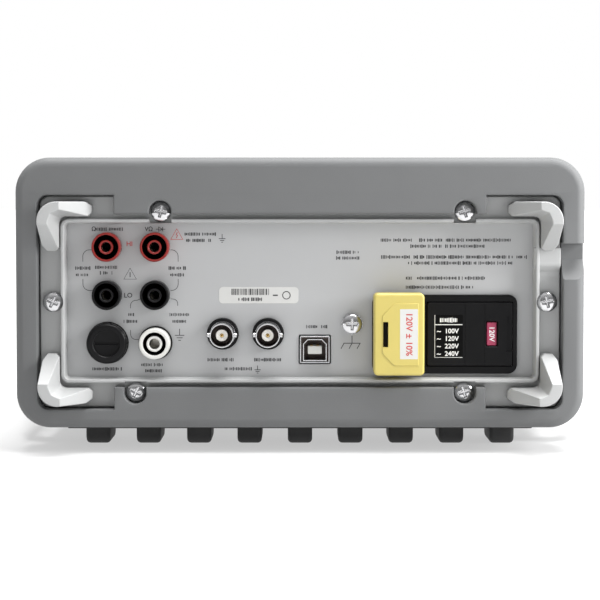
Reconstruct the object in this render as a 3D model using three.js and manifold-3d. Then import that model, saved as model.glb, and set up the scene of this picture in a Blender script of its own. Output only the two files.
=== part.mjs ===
// A half-rack bench multimeter with end bumpers and a folding carry handle, in millimetres, +Z up.
// The display and keys face -Y, the connector panel faces +Y. Until the last lines, Y is counted from
// the connector panel's outer face, Z from the case's mid-height, and X from its centre plane.
import * as THREE from "three";
import { mergeVertices } from "three/addons/utils/BufferGeometryUtils.js";
import Module from "manifold-3d";

const wasm = await Module();
wasm.setup();

// ---------- driving dimensions ----------
const GAP = 0.3; // clearance between pieces that touch
const caseWidth = 213;
const caseHeight = 88;
const caseDepth = 250; // front panel face to connector panel face
const caseWall = 1.5;
const caseCorner = 4;

const bumperWall = 5.2; // soft sleeve outside the case, at the sides
const bumperTop = 12.7; // its thickness over the top of the case
const bumperBottom = 5.3;
const bumperCorner = 13.5;
const bumperEdge = 3.5; // rounding of the outer rim
const bumperReach = 31; // length of the sleeve along the case
const bumperProud = 9; // its end face beyond the panel it frames
const lipOverlap = 3.1; // how far the lip covers the end of the case, at the sides
const lipOverlapTop = 1.8;
const openingCorner = 4;
const footDrop = 10; // ground clearance under the bumpers
const frontProud = 8; // front bumper beyond the front panel
const footPad = { width: 36, length: 22, x: 72, back: 16, corner: 4 };

const panelThickness = 1.5;
const panelMargin = 4.5; // case side to connector panel edge
const panelMarginZ = 4; // case top or bottom to connector panel edge
const flangeProud = 2; // bezel flange above the connector panel
const rimProud = 6; // raised rim above the connector panel
const bezelDepth = 8; // bezel skirt behind the panel face
const rimWidth = 188;
const rimHeight = 64.6;
const rimCentreZ = 0.75;
const rimSlope = 2.5; // the rim's inside leans in by this much
const screwHead = 4; // bezel screw head radius
const screwPocket = 5; // radius of the recess round a head
const screwInset = 8.7; // side screws, from the case's side
const screwTopInset = 8.3; // top and bottom screws, from the case's top or bottom
const screwX = [65, -65, 55];

const standLength = { x: 19.4, z: 19.7 }; // arms of the corner stands
const standThickness = { x: 6.8, z: 5.8 };
const standHeight = 21;
const standTip = 4.2;
const standFlat = 9; // length of the full-height corner
const standInset = { x: 5.3, z: 4.5 }; // from the case's edge

const jackPitch = 19.05; // standard double-plug spacing
const jackHiX = 57.4;
const jackHiZ = 21.75;
const jackShroud = { outer: 5.8, inner: 4.5, body: 5.2 };
const jackCore = { outer: 3.1, bore: 2 };
const jackProud = 7;
const jackDepth = 20;
const ampsCollar = 6.7;
const ampsHead = 6.15;
const fuseBarrel = 7.2;
const fuseHead = fuseBarrel + 0.85; // the cap covers the barrel's flange
const fuseLength = 32;
const fuseRadius = 3.2;

const bncPitch = 18;
const bncX = 12.65;
const bncZ = -12.7;
const bncProud = 14;
const usb = { x: -5.9, z: -19.05, width: 12, height: 10.9, depth: 14 };
const earthScrew = { x: -20.7, z: -8.9, head: 4.35, shank: 2 };

const inlet = { left: -28.6, right: -86.2, bottom: -28.6, top: 2.8, plate: 2.5, depth: 45, corner: 4 };
const inletSocket = { x: -38.8, z: -12.3, width: 16.4, height: 24.6, depth: 16 };
const drawer = { left: -50.4, right: -84.2, bottom: -25.4, top: -0.2, depth: 30, proud: 3.4 };
const drawerWindow = { x: -76, z: -12.7, width: 4.6, height: 10 };
const cover = { width: 19.8, height: 32.2, proud: 14, wall: 1.8, tab: 5 };

const pivotFromFront = 68; // handle pivot behind the front panel face
const handlePivotZ = 0;
const handleArm = 5.5; // thickness of an arm along X
const handleHub = 13;
const handleReachY = -36; // where the grip lies when folded
const gripWidth = 22; // along Y when folded
const gripHeight = 8.3;
const gripClearance = 1.5; // between the case's underside and the folded grip
const gripHalf = 96;
const gripRibPitch = 20.7;
const gripRibs = 9;
const gripRibWidth = 10;
const barHeight = 5.2;
const barWidth = 16;
const handleBend = 18; // outer radius between an arm and the bar
const handleEdge = 12; // rounding of the frame's lower corners
const pivotPin = 6;
const pivotCap = 14;
const pivotCapDepth = 8.1; // the caps are the widest place, 252.8 over both

const frontPlate = 3.5;
const displayWindow = { x: -40, z: 16, width: 112, height: 34, lens: 1.8, border: 4 };
const keySize = { width: 14, height: 8, proud: 2.5, corner: 1.2 };
const keyPitch = { x: 20, z: 15 };
const keyFirst = { x: -70, z: -13 };
const keyColumns = 5;
const keyRows = 2;
const powerButton = { x: -92, z: -28, size: 12, proud: 4 };
const inputsButton = { x: 36, z: -28, size: 10, proud: 3.5 };
const frontJackX = 82;
const frontJackZ = 22;
const boardThickness = 1.6;

// ---------- derived places ----------
const halfW = caseWidth / 2;
const halfH = caseHeight / 2;
const frontY = -caseDepth;
const handlePivotY = frontY + pivotFromFront;
const floorZ = -halfH - GAP - bumperBottom - footDrop;
const openingHalfW = halfW - lipOverlap;
const openingHalfH = halfH - lipOverlapTop;
const flangeHalfW = openingHalfW - 0.4;
const flangeHalfH = openingHalfH - 0.4;
const screwPlaces = [
  [halfW - screwInset, 0],
  [-(halfW - screwInset), 0],
  [screwX[2], halfH - screwTopInset],
  [screwX[1], halfH - screwTopInset],
  [screwX[0], -(halfH - screwTopInset)],
  [screwX[1], -(halfH - screwTopInset)],
];

// ---------- solids ----------
// A closed geometry as a solid that can be joined and cut.
function solid(geometry) {
  const bare = geometry.index ? geometry.toNonIndexed() : geometry.clone();
  for (const name of Object.keys(bare.attributes)) {
    if (name !== "position") bare.deleteAttribute(name);
  }
  const merged = mergeVertices(bare, 1e-4);
  const mesh = new wasm.Mesh({
    numProp: 3,
    vertProperties: merged.attributes.position.array,
    triVerts: new Uint32Array(merged.index.array),
  });
  return new wasm.Manifold(mesh);
}

function joined(solids) {
  return solids.reduce((sum, next) => sum.add(next));
}

function cut(body, tools) {
  return tools.reduce((rest, tool) => rest.subtract(tool), body);
}

// A box given by its limits along each axis.
function block(x0, x1, y0, y1, z0, z1) {
  const box = new THREE.BoxGeometry(x1 - x0, y1 - y0, z1 - z0);
  return solid(box.translate((x0 + x1) / 2, (y0 + y1) / 2, (z0 + z1) / 2));
}

// The outline of a rectangle with rounded corners, anticlockwise, centred on (cx, cz).
function roundedOutline(width, height, radius, cx = 0, cz = 0, steps = 4) {
  const points = [];
  for (let corner = 0; corner < 4; corner += 1) {
    const sx = corner === 0 || corner === 3 ? 1 : -1;
    const sz = corner < 2 ? 1 : -1;
    for (let i = 0; i <= steps; i += 1) {
      const angle = (Math.PI / 2) * (corner + i / steps);
      points.push(
        new THREE.Vector2(
          cx + sx * (width / 2 - radius) + radius * Math.cos(angle),
          cz + sz * (height / 2 - radius) + radius * Math.sin(angle),
        ),
      );
    }
  }
  return points;
}

// A prism along Y: the outline is in X and Z.
function slab(outline, y0, y1) {
  const shape = new THREE.Shape(outline);
  const prism = new THREE.ExtrudeGeometry(shape, { depth: y1 - y0, bevelEnabled: false });
  return solid(prism.rotateX(Math.PI / 2).translate(0, y1, 0));
}

// A prism along X: the outline is in Y and Z.
function slabX(outline, x0, x1) {
  const shape = new THREE.Shape(outline);
  const prism = new THREE.ExtrudeGeometry(shape, { depth: x1 - x0, bevelEnabled: false });
  return solid(prism.rotateX(Math.PI / 2).rotateZ(Math.PI / 2).translate(x0, 0, 0));
}

// A prism along Z: the outline is in X and Y.
function slabZ(outline, z0, z1) {
  const shape = new THREE.Shape(outline);
  const prism = new THREE.ExtrudeGeometry(shape, { depth: z1 - z0, bevelEnabled: false });
  return solid(prism.translate(0, 0, z0));
}

// A skin through rounded rectangles, each { y, w, h, r, x, z }, in order of rising y.
function loft(stations, steps = 4) {
  const rings = stations.map((s) => roundedOutline(s.w, s.h, s.r, s.x ?? 0, s.z ?? 0, steps));
  const count = rings[0].length;
  const vertices = [];
  rings.forEach((ring, i) => {
    ring.forEach((p) => vertices.push(p.x, stations[i].y, p.y));
  });
  const faces = [];
  for (let i = 0; i + 1 < rings.length; i += 1) {
    for (let j = 0; j < count; j += 1) {
      const a = i * count + j;
      const b = i * count + ((j + 1) % count);
      faces.push(a, a + count, b, b, a + count, b + count);
    }
  }
  const last = (rings.length - 1) * count;
  for (let j = 1; j + 1 < count; j += 1) {
    faces.push(0, j, j + 1, last, last + j + 1, last + j);
  }
  const skin = new THREE.BufferGeometry();
  skin.setAttribute("position", new THREE.Float32BufferAttribute(vertices, 3));
  skin.setIndex(faces);
  return solid(skin);
}

// A turned piece along Y. Its profile is [radius, y] from the axis at the front, round the outside and
// back to the axis.
function turned(profile, segments = 12) {
  const points = profile.map(([r, y]) => new THREE.Vector2(r, y));
  return solid(new THREE.LatheGeometry(points, segments));
}

function rod(radius, y0, y1, x = 0, z = 0, segments = 12) {
  return turned([[0, y0], [radius, y0], [radius, y1], [0, y1]], segments).translate([x, 0, z]);
}

const object = new THREE.Group();

// Adds a finished solid as a named piece with its finish.
function place(name, body, finish) {
  const mesh = body.getMesh();
  const geometry = new THREE.BufferGeometry();
  geometry.setAttribute("position", new THREE.BufferAttribute(Float32Array.from(mesh.vertProperties), 3));
  geometry.setIndex(new THREE.BufferAttribute(Uint32Array.from(mesh.triVerts), 1));
  geometry.computeVertexNormals();
  const piece = new THREE.Mesh(geometry, finish);
  piece.name = name;
  object.add(piece);
}

function finish(color, roughness, metalness) {
  return new THREE.MeshStandardMaterial({ color, roughness, metalness });
}

const casePaint = finish(0xb9bcbd, 0.5, 0.2);
const panelPaint = finish(0xc6c8c8, 0.5, 0.1);
const bezelPlastic = finish(0xd6d7d6, 0.5, 0);
const bumperRubber = finish(0x858787, 0.75, 0);
const gripRubber = finish(0x222223, 0.8, 0);
const blackPlastic = finish(0x151516, 0.4, 0);
const redPlastic = finish(0xc03a30, 0.35, 0);
const whitePlastic = finish(0xefefea, 0.4, 0);
const yellowPlastic = finish(0xead97c, 0.45, 0);
const keyPlastic = finish(0xdcdcda, 0.5, 0);
const steel = finish(0xc9cbce, 0.3, 1);
const sheetSteel = finish(0xaeb2b6, 0.4, 0.9);
const boardGreen = finish(0x2f6b45, 0.5, 0);
const lensGlass = finish(0x15191d, 0.15, 0);
const fuseGlass = finish(0xd9dedf, 0.15, 0);
const labelRed = finish(0x9c3351, 0.5, 0);

// ---------- case ----------
function caseSleeve() {
  const y0 = frontY + frontPlate + 8 + GAP;
  const y1 = -bezelDepth - GAP;
  const outside = roundedOutline(caseWidth, caseHeight, caseCorner);
  const inside = roundedOutline(
    caseWidth - 2 * caseWall,
    caseHeight - 2 * caseWall,
    Math.max(caseCorner - caseWall, 0.5),
  );
  return cut(slab(outside, y0, y1), [slab(inside, y0 - 1, y1 + 1)]);
}

const trayInset = 1; // the tray inside the edge of the connector panel
const trayHalfW = halfW - panelMargin - trayInset;
const trayZ = -halfH + panelMarginZ + trayInset;
const trayFront = frontY + 22;
const trayBack = -panelThickness - GAP;
const boardZ = trayZ + 7.3;

// The sheet metal tray that carries the boards.
function chassisTray() {
  const t = 1.2;
  const floor = block(-trayHalfW, trayHalfW, trayFront, trayBack, trayZ, trayZ + t);
  const walls = [-1, 1].map((side) => {
    const x = side * (trayHalfW - t / 2);
    return block(x - t / 2, x + t / 2, trayFront, trayBack, trayZ, 18);
  });
  const posts = [];
  for (const x of [-trayHalfW + 16, trayHalfW - 16]) {
    for (const y of [trayFront + 14, trayBack - 62]) {
      posts.push(block(x - 3, x + 3, y - 3, y + 3, trayZ, boardZ - GAP));
    }
  }
  return joined([floor, ...walls, ...posts]);
}

function mainBoard() {
  const inset = 4;
  return block(
    -trayHalfW + inset,
    trayHalfW - inset,
    trayFront + 6,
    trayBack - 50,
    boardZ,
    boardZ + boardThickness,
  );
}

// Laminated core with its winding, standing on the board beside the inlet.
function powerTransformer() {
  const z0 = boardZ + boardThickness + GAP;
  const core = block(-86, -40, -112, -86, z0, z0 + 40);
  const winding = slab(roundedOutline(30, 26, 6, -63, z0 + 20), -122, -76);
  return core.add(winding);
}

// ---------- connector panel and bezel ----------
function connectorPanel() {
  const outline = roundedOutline(caseWidth - 2 * panelMargin, caseHeight - 2 * panelMarginZ, 2);
  const y0 = -panelThickness - 1;
  const holes = [];
  for (const x of [jackHiX, jackHiX + jackPitch]) {
    for (const z of [jackHiZ, jackHiZ - jackPitch]) {
      holes.push(rod(jackShroud.body + GAP, y0, 1, x, z));
    }
  }
  const lastRow = jackHiZ - 2 * jackPitch;
  holes.push(rod(ampsCollar - 0.5, y0, 1, jackHiX, lastRow));
  holes.push(rod(fuseBarrel + GAP, y0, 1, jackHiX + jackPitch, lastRow));
  holes.push(rod(5.5 + GAP, y0, 1, bncX, bncZ), rod(5.5 + GAP, y0, 1, bncX + bncPitch, bncZ));
  holes.push(rod(earthScrew.shank + GAP, y0, 1, earthScrew.x, earthScrew.z));
  holes.push(
    slab(roundedOutline(usb.width + 2 * GAP, usb.height + 2 * GAP, 0.5, usb.x, usb.z, 1), y0, 1),
  );
  const body = inletBody();
  holes.push(
    block(body.x0 - GAP, body.x1 + GAP, y0, 1, body.z0 - GAP, body.z1 + GAP),
  );
  for (const [x, z] of screwPlaces) holes.push(rod(1.8, y0, 1, x, z, 10));
  return cut(slab(outline, -panelThickness, 0), holes);
}

// One corner stand: two arms that fall from a full-height corner to low tips.
function cornerStand(sideX, sideZ) {
  const x1 = halfW - standInset.x;
  const z1 = halfH - standInset.z;
  const { x: tx, z: tz } = standThickness;
  const base = 0.5;
  const top = flangeProud + standHeight;
  const low = flangeProud + standTip;
  const radius = 7;
  const tip = 1.5;
  const outline = new THREE.Shape();
  outline.moveTo(x1 - standLength.x + tip, z1);
  outline.lineTo(x1 - radius, z1);
  outline.absarc(x1 - radius, z1 - radius, radius, Math.PI / 2, 0, true);
  outline.lineTo(x1, z1 - standLength.z + tip);
  outline.lineTo(x1 - tip, z1 - standLength.z);
  outline.lineTo(x1 - tx + tip, z1 - standLength.z);
  outline.lineTo(x1 - tx, z1 - standLength.z + tip);
  outline.lineTo(x1 - tx, z1 - tz - 2);
  outline.lineTo(x1 - tx - 2, z1 - tz);
  outline.lineTo(x1 - standLength.x + tip, z1 - tz);
  outline.lineTo(x1 - standLength.x, z1 - tz + tip);
  outline.lineTo(x1 - standLength.x, z1 - tip);
  const side = (p) => new THREE.Vector2(sideX * p.x, sideZ * p.y);
  const plan = slab(outline.extractPoints(5).shape.map(side), base, top);
  const fall = (length) => [
    [0, base],
    [length, base],
    [length, low],
    [standFlat, top],
    [0, top],
  ];
  const xLimits = [sideX * (x1 - standLength.x), sideX * x1].sort((a, b) => a - b);
  const zLimits = [sideZ * (z1 - standLength.z), sideZ * z1].sort((a, b) => a - b);
  const alongX = slabZ(
    fall(standLength.x).map(([d, y]) => new THREE.Vector2(sideX * (x1 - d), y)),
    sideZ > 0 ? z1 - tz - 2 : zLimits[0] - 1,
    sideZ > 0 ? zLimits[1] + 1 : -(z1 - tz - 2),
  );
  const alongZ = slabX(
    fall(standLength.z).map(([d, y]) => new THREE.Vector2(y, sideZ * (z1 - d))),
    sideX > 0 ? x1 - tx : xLimits[0] - 1,
    sideX > 0 ? xLimits[1] + 1 : -(x1 - tx),
  );
  return plan.intersect(alongX.add(alongZ));
}

// The moulded frame round the connector panel, with its rim, corner stands and cord saddle.
function rearBezel() {
  const step = -1;
  const skirt = slab(roundedOutline(caseWidth, caseHeight, caseCorner), -bezelDepth, step);
  const flange = slab(
    roundedOutline(2 * flangeHalfW, 2 * flangeHalfH, openingCorner - 0.4),
    step - 0.5,
    flangeProud,
  );
  const rim = slab(roundedOutline(rimWidth, rimHeight, 5, 0, rimCentreZ), 0.5, rimProud);
  const saddle = block(-flangeHalfW, -rimWidth / 2 + 1, 0.5, rimProud - 0.5, 12.1, 21.6);
  const stands = [];
  for (const sideX of [-1, 1]) {
    for (const sideZ of [-1, 1]) stands.push(cornerStand(sideX, sideZ));
  }
  const pocket = slab(
    roundedOutline(caseWidth - 2 * panelMargin + 2 * GAP, caseHeight - 2 * panelMarginZ + 2 * GAP, 2),
    -bezelDepth - 1,
    GAP,
  );
  const narrow = 2 * rimSlope;
  const window = loft([
    { y: -bezelDepth - 1, w: rimWidth - 2 * narrow, h: rimHeight - 2 * narrow, r: 3, z: rimCentreZ },
    { y: GAP, w: rimWidth - narrow, h: rimHeight - narrow, r: 3, z: rimCentreZ },
    { y: rimProud + 0.1, w: rimWidth - 1, h: rimHeight - 1, r: 4.5, z: rimCentreZ },
  ]);
  const body = cut(joined([skirt, flange, rim, saddle, ...stands]), [pocket, window]);
  const screwHoles = screwPlaces.flatMap(([x, z]) => [
    rod(1.8, -bezelDepth, rimProud, x, z, 10),
    rod(screwPocket, flangeProud, rimProud + 1, x, z),
  ]);
  return cut(body, screwHoles);
}

function bezelScrew([x, z]) {
  const y0 = flangeProud + GAP;
  const profile = [
    [0, -12],
    [1.4, -12],
    [1.4, y0],
    [screwHead, y0],
    [screwHead, y0 + 1],
    [screwHead * 0.72, y0 + 2.4],
    [0, y0 + 2.7],
  ];
  return turned(profile, 10).translate([x, 0, z]);
}

// ---------- bumpers ----------
// A soft end sleeve: rounded outside, a pocket for the end of the case, and a lip round its edge.
function bumperShell(lipStart) {
  const width = caseWidth + 2 * (bumperWall + GAP);
  const height = caseHeight + bumperTop + bumperBottom + 2 * GAP;
  const z = (bumperTop - bumperBottom) / 2;
  const e = bumperEdge;
  const round = (y, inset) => ({
    y,
    w: width - 2 * inset,
    h: height - 2 * inset,
    r: bumperCorner - inset,
    z,
  });
  const y1 = bumperProud;
  const y0 = bumperProud - bumperReach;
  const outside = loft([
    round(y0, 1),
    round(y0 + 1, 0),
    round(y1 - e, 0),
    round(y1 - 0.62 * e, 0.08 * e),
    round(y1 - 0.29 * e, 0.29 * e),
    round(y1 - 0.08 * e, 0.62 * e),
    round(y1, e),
  ]);
  const pocket = slab(
    roundedOutline(caseWidth + 2 * GAP, caseHeight + 2 * GAP, caseCorner),
    y0 - 1,
    lipStart,
  );
  return cut(outside, [pocket]);
}

const lipMiddle = { halfWidth: 73.2, top: 34.8, bottom: -33.5 };

function rearBumper() {
  const lipStart = -1 + GAP;
  const through = [lipStart - 1, bumperProud + 1];
  const band = lipMiddle.top - lipMiddle.bottom;
  const overFlange = slab(
    roundedOutline(2 * openingHalfW, 2 * openingHalfH, openingCorner),
    lipStart - 1,
    flangeProud + GAP,
  );
  const tools = [
    overFlange,
    slab(
      roundedOutline(2 * openingHalfW, band, 1, 0, (lipMiddle.top + lipMiddle.bottom) / 2),
      ...through,
    ),
  ];
  for (const side of [-1, 1]) {
    const width = openingHalfW - lipMiddle.halfWidth;
    const x = side * (openingHalfW - width / 2);
    tools.push(slab(roundedOutline(width, 2 * openingHalfH, openingCorner, x), ...through));
  }
  for (const [x, z] of screwPlaces) {
    if (z === 0) continue;
    const inner = z > 0 ? lipMiddle.top : lipMiddle.bottom;
    tools.push(rod(screwPocket, ...through, x, z));
    tools.push(
      block(x - screwPocket, x + screwPocket, ...through, Math.min(z, inner - 1), Math.max(z, inner + 1)),
    );
  }
  // the way out for the mains cord, with a long lower ramp
  const ramp = [
    [flangeProud, 23.3],
    [flangeProud, 16.9],
    [bumperProud + 0.1, 9],
    [bumperProud + 1, 9],
    [bumperProud + 1, 23.3],
  ];
  const notch = slabX(ramp.map(([y, z]) => new THREE.Vector2(y, z)), -halfW - 8, -openingHalfW + 1);
  return cut(bumperShell(lipStart), [...tools, notch]);
}

// The front bumper is the same sleeve turned round, with two feet under it.
function frontBumper() {
  const lipStart = bumperProud - frontProud - frontPlate + GAP;
  const opening = slab(
    roundedOutline(2 * openingHalfW, 2 * openingHalfH, openingCorner),
    lipStart - 1,
    bumperProud + 1,
  );
  const { width, length, x, back, corner } = footPad;
  const feet = [-1, 1].map((side) => {
    const outline = roundedOutline(width, length, corner, side * x, bumperProud - back);
    return slabZ(outline, floorZ, -halfH - GAP - 1);
  });
  const shell = cut(bumperShell(lipStart), [opening]);
  const turnedRound = joined([shell, ...feet]).rotate([0, 0, 180]);
  return turnedRound.translate([0, frontY - frontProud + bumperProud, 0]);
}

// ---------- connectors ----------
// A shrouded 4 mm safety jack with its centre core, facing out along +Y.
function safetyJack(x, z, profile) {
  return turned(profile).translate([x, 0, z]);
}

function shroudedProfile(outer, body, inner, seat, proud, depth) {
  return [
    [0, -depth],
    [body, -depth],
    [body, seat],
    [outer, seat],
    [outer, proud - 0.5],
    [outer - 0.5, proud],
    [inner, proud],
    [inner, -depth * 0.6],
    [jackCore.outer, -depth * 0.6],
    [jackCore.outer, proud - 0.5],
    [jackCore.bore, proud - 0.5],
    [jackCore.bore, -depth * 0.85],
    [0, -depth * 0.85],
  ];
}

function jack(x, z) {
  const { outer, body, inner } = jackShroud;
  return safetyJack(x, z, shroudedProfile(outer, body, inner, GAP, jackProud, jackDepth));
}

function ampsJackCollar(x, z) {
  const barrel = ampsCollar - 0.8;
  const bore = barrel - 0.7;
  return turned([
    [0, -34],
    [barrel, -34],
    [barrel, GAP],
    [ampsCollar, GAP],
    [ampsCollar, 1.5],
    [bore, 1.5],
    [bore, -32],
    [0, -32],
  ]).translate([x, 0, z]);
}

function ampsJack(x, z) {
  const stem = ampsCollar - 0.8 - 0.7 - GAP;
  return safetyJack(x, z, shroudedProfile(ampsHead, stem, 4.3, 1.5 + GAP, 8.5, 14));
}

function fuseHolder(x, z) {
  const bore = fuseBarrel - 0.9;
  return turned([
    [0, -44],
    [fuseBarrel, -44],
    [fuseBarrel, GAP],
    [fuseHead + 0.3, GAP],
    [fuseHead + 0.3, 1.4],
    [bore, 1.4],
    [bore, -42],
    [0, -42],
  ]).translate([x, 0, z]);
}

const fuseCapPocket = -3;

// The bayonet cap holds the fuse's outer end.
function fuseCap(x, z) {
  const y0 = 1.4 + GAP;
  const stem = fuseBarrel - 0.9 - GAP;
  const cap = turned([
    [0, fuseCapPocket],
    [fuseRadius + GAP, fuseCapPocket],
    [fuseRadius + GAP, fuseCapPocket - 5],
    [stem, fuseCapPocket - 5],
    [stem, y0],
    [fuseHead, y0],
    [fuseHead, y0 + 4],
    [fuseHead - 0.8, y0 + 4.8],
    [5.3, y0 + 4.8],
    [5.3, y0 + 3.6],
    [0, y0 + 3.6],
  ]);
  const slot = block(-4.6, 4.6, y0 + 2.6, y0 + 6, -0.6, 0.6);
  return cap.subtract(slot).translate([x, 0, z]);
}

function cartridgeFuse(x, z) {
  const y1 = fuseCapPocket - GAP;
  const y0 = y1 - fuseLength;
  const end = 6;
  return turned([
    [0, y0],
    [fuseRadius, y0],
    [fuseRadius, y0 + end],
    [fuseRadius - 0.4, y0 + end],
    [fuseRadius - 0.4, y1 - end],
    [fuseRadius, y1 - end],
    [fuseRadius, y1],
    [0, y1],
  ], 12).translate([x, 0, z]);
}

// A bayonet coaxial socket with two side lugs.
function coaxSocket(x, z) {
  const body = turned([
    [0, -16],
    [5.5, -16],
    [5.5, GAP],
    [6.15, GAP],
    [6.15, 2],
    [4.85, 2],
    [4.85, bncProud],
    [4.2, bncProud],
    [4.2, 4],
    [2.4, 4],
    [2.4, bncProud - 2],
    [0.7, bncProud - 2],
    [0.7, 5],
    [0, 5],
  ]);
  const lug = new THREE.CylinderGeometry(1, 1, 11.8, 8).rotateZ(Math.PI / 2);
  const core = rod(4.4, 0, bncProud + 1);
  const lugs = solid(lug.translate(0, bncProud - 3.5, 0)).subtract(core);
  return body.add(lugs).translate([x, 0, z]);
}

function usbSocket() {
  const { x, z, width, height, depth } = usb;
  const shell = slab(roundedOutline(width, height, 0.5, x, z, 1), -depth, 1);
  const mouth = new THREE.Shape();
  const w = 8.5;
  const h = 7.8;
  mouth.moveTo(x - w / 2, z - h / 2);
  mouth.lineTo(x + w / 2, z - h / 2);
  mouth.lineTo(x + w / 2, z + h / 2 - 1.6);
  mouth.lineTo(x + w / 2 - 1.6, z + h / 2);
  mouth.lineTo(x - w / 2 + 1.6, z + h / 2);
  mouth.lineTo(x - w / 2, z + h / 2 - 1.6);
  const cavity = slab(mouth.getPoints(), -9, 2);
  const tongue = block(x - 2.8, x + 2.8, -9.5, -0.4, z - 1.75, z + 1.75);
  return shell.subtract(cavity).add(tongue);
}

function earthScrewBody() {
  const { x, z, head, shank } = earthScrew;
  return turned([
    [0, -8],
    [shank, -8],
    [shank, GAP],
    [head, GAP],
    [head, GAP + 1.2],
    [head * 0.72, GAP + 2.7],
    [0, GAP + 3],
  ]).translate([x, 0, z]);
}

// ---------- mains inlet ----------
function inletBody() {
  return {
    x0: inlet.right + 2,
    x1: inlet.left - 2,
    z0: inlet.bottom + 2,
    z1: inlet.top - 2,
  };
}

// The panel-mount housing: a plug socket beside a fuse and voltage drawer.
function powerInlet() {
  const width = inlet.left - inlet.right;
  const height = inlet.top - inlet.bottom;
  const x = (inlet.left + inlet.right) / 2;
  const z = (inlet.top + inlet.bottom) / 2;
  const plate = slab(roundedOutline(width, height, inlet.corner, x, z), GAP, inlet.plate);
  const b = inletBody();
  const body = block(b.x0, b.x1, -inlet.depth, GAP + 0.1, b.z0, b.z1);
  const s = inletSocket;
  const socket = slab(roundedOutline(s.width, s.height, 2, s.x, s.z), -s.depth, inlet.plate + 1);
  const d = drawer;
  const bay = block(
    d.right - GAP,
    d.left + GAP,
    -d.depth - GAP,
    inlet.plate + 1,
    d.bottom - GAP,
    d.top + GAP,
  );
  return cut(plate.add(body), [socket, bay]);
}

// The three contacts stand in the socket, clear of its floor.
function inletPin(dx, dz) {
  const s = inletSocket;
  const x = s.x + dx;
  const z = s.z + dz;
  return block(x - 2, x + 2, -s.depth + GAP, -3, z - 1, z + 1);
}

// Front plate and open tray; the selector shows through its window.
function fuseDrawer() {
  const d = drawer;
  const plateBack = inlet.plate - 2.2;
  const plate = block(d.right, d.left, plateBack, d.proud, d.bottom, d.top);
  const tray = block(d.right + 1, d.left - 1, -d.depth, plateBack + 0.1, d.bottom + 1, d.top - 1);
  const hollow = block(d.right + 2.5, d.left - 2.5, -d.depth + 1.5, plateBack - 1, d.bottom + 2.5, d.top);
  const w = drawerWindow;
  const window = block(
    w.x - w.width / 2,
    w.x + w.width / 2,
    plateBack - 2,
    d.proud + 1,
    w.z - w.height / 2,
    w.z + w.height / 2,
  );
  const latch = block(d.right - 1, d.right + 2.4, d.proud - 1.2, d.proud + 1, w.z - 7, w.z + 7);
  return cut(plate.add(tray), [hollow, window, latch]);
}

// A small drum card with the voltage on its edge, seen in the drawer's window.
function voltageSelector() {
  const w = drawerWindow;
  const back = inlet.plate - 2.2 - 1 - GAP;
  const tab = block(
    w.x - w.width / 2 + GAP,
    w.x + w.width / 2 - GAP,
    back - 1,
    drawer.proud - 0.8,
    w.z - w.height / 2 + GAP,
    w.z + w.height / 2 - GAP,
  );
  return tab.add(block(w.x - 5, w.x + 5, back - 12, back, w.z - 8, w.z + 8));
}

function mainsFuse() {
  return turned([[0, -24], [2.6, -24], [2.6, -4], [0, -4]], 12).translate([-57.5, 0, drawerWindow.z]);
}

// The push-on cover over the plug socket, hollow, with a slot and two gripping tabs.
function inletCover() {
  const s = inletSocket;
  const y0 = inlet.plate + GAP;
  const y1 = cover.proud;
  const { width: w, height: h, wall } = cover;
  const shell = loft([
    { y: y0, w, h, r: 1.4, x: s.x, z: s.z },
    { y: y1 - 1, w, h, r: 1.4, x: s.x, z: s.z },
    { y: y1, w: w - 1.6, h: h - 1.6, r: 0.9, x: s.x, z: s.z },
  ], 2);
  const inside = slab(
    roundedOutline(w - 2 * wall, h - 2 * wall, 1, s.x, s.z, 2),
    y0 - 1,
    y1 - wall,
  );
  const slot = block(s.x + 2.6, s.x + 4.6, y1 - wall - 1, y1 + 1, s.z - 5, s.z + 5);
  const tabs = [-1, 1].map((side) => {
    const outer = side * (s.height / 2 - GAP);
    const root = side * (h / 2 - wall / 2);
    const arm = [outer, outer - side * 1.6].sort((a, b) => a - b);
    const bridge = [root, outer - side * 1.6].sort((a, b) => a - b);
    const leg = block(s.x - cover.tab, s.x + cover.tab, y0 - 8, y0 + 3, s.z + arm[0], s.z + arm[1]);
    const web = block(s.x - cover.tab, s.x + cover.tab, y0, y0 + 3, s.z + bridge[0], s.z + bridge[1]);
    return leg.add(web);
  });
  return joined([cut(shell, [inside, slot]), ...tabs]);
}

// ---------- handle ----------
const gripTopZ = -halfH - gripClearance;
const gripMidZ = gripTopZ - gripHeight / 2;
const armInner = halfW + GAP + bumperWall + 0.5;
const armOuter = armInner + handleArm;

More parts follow.
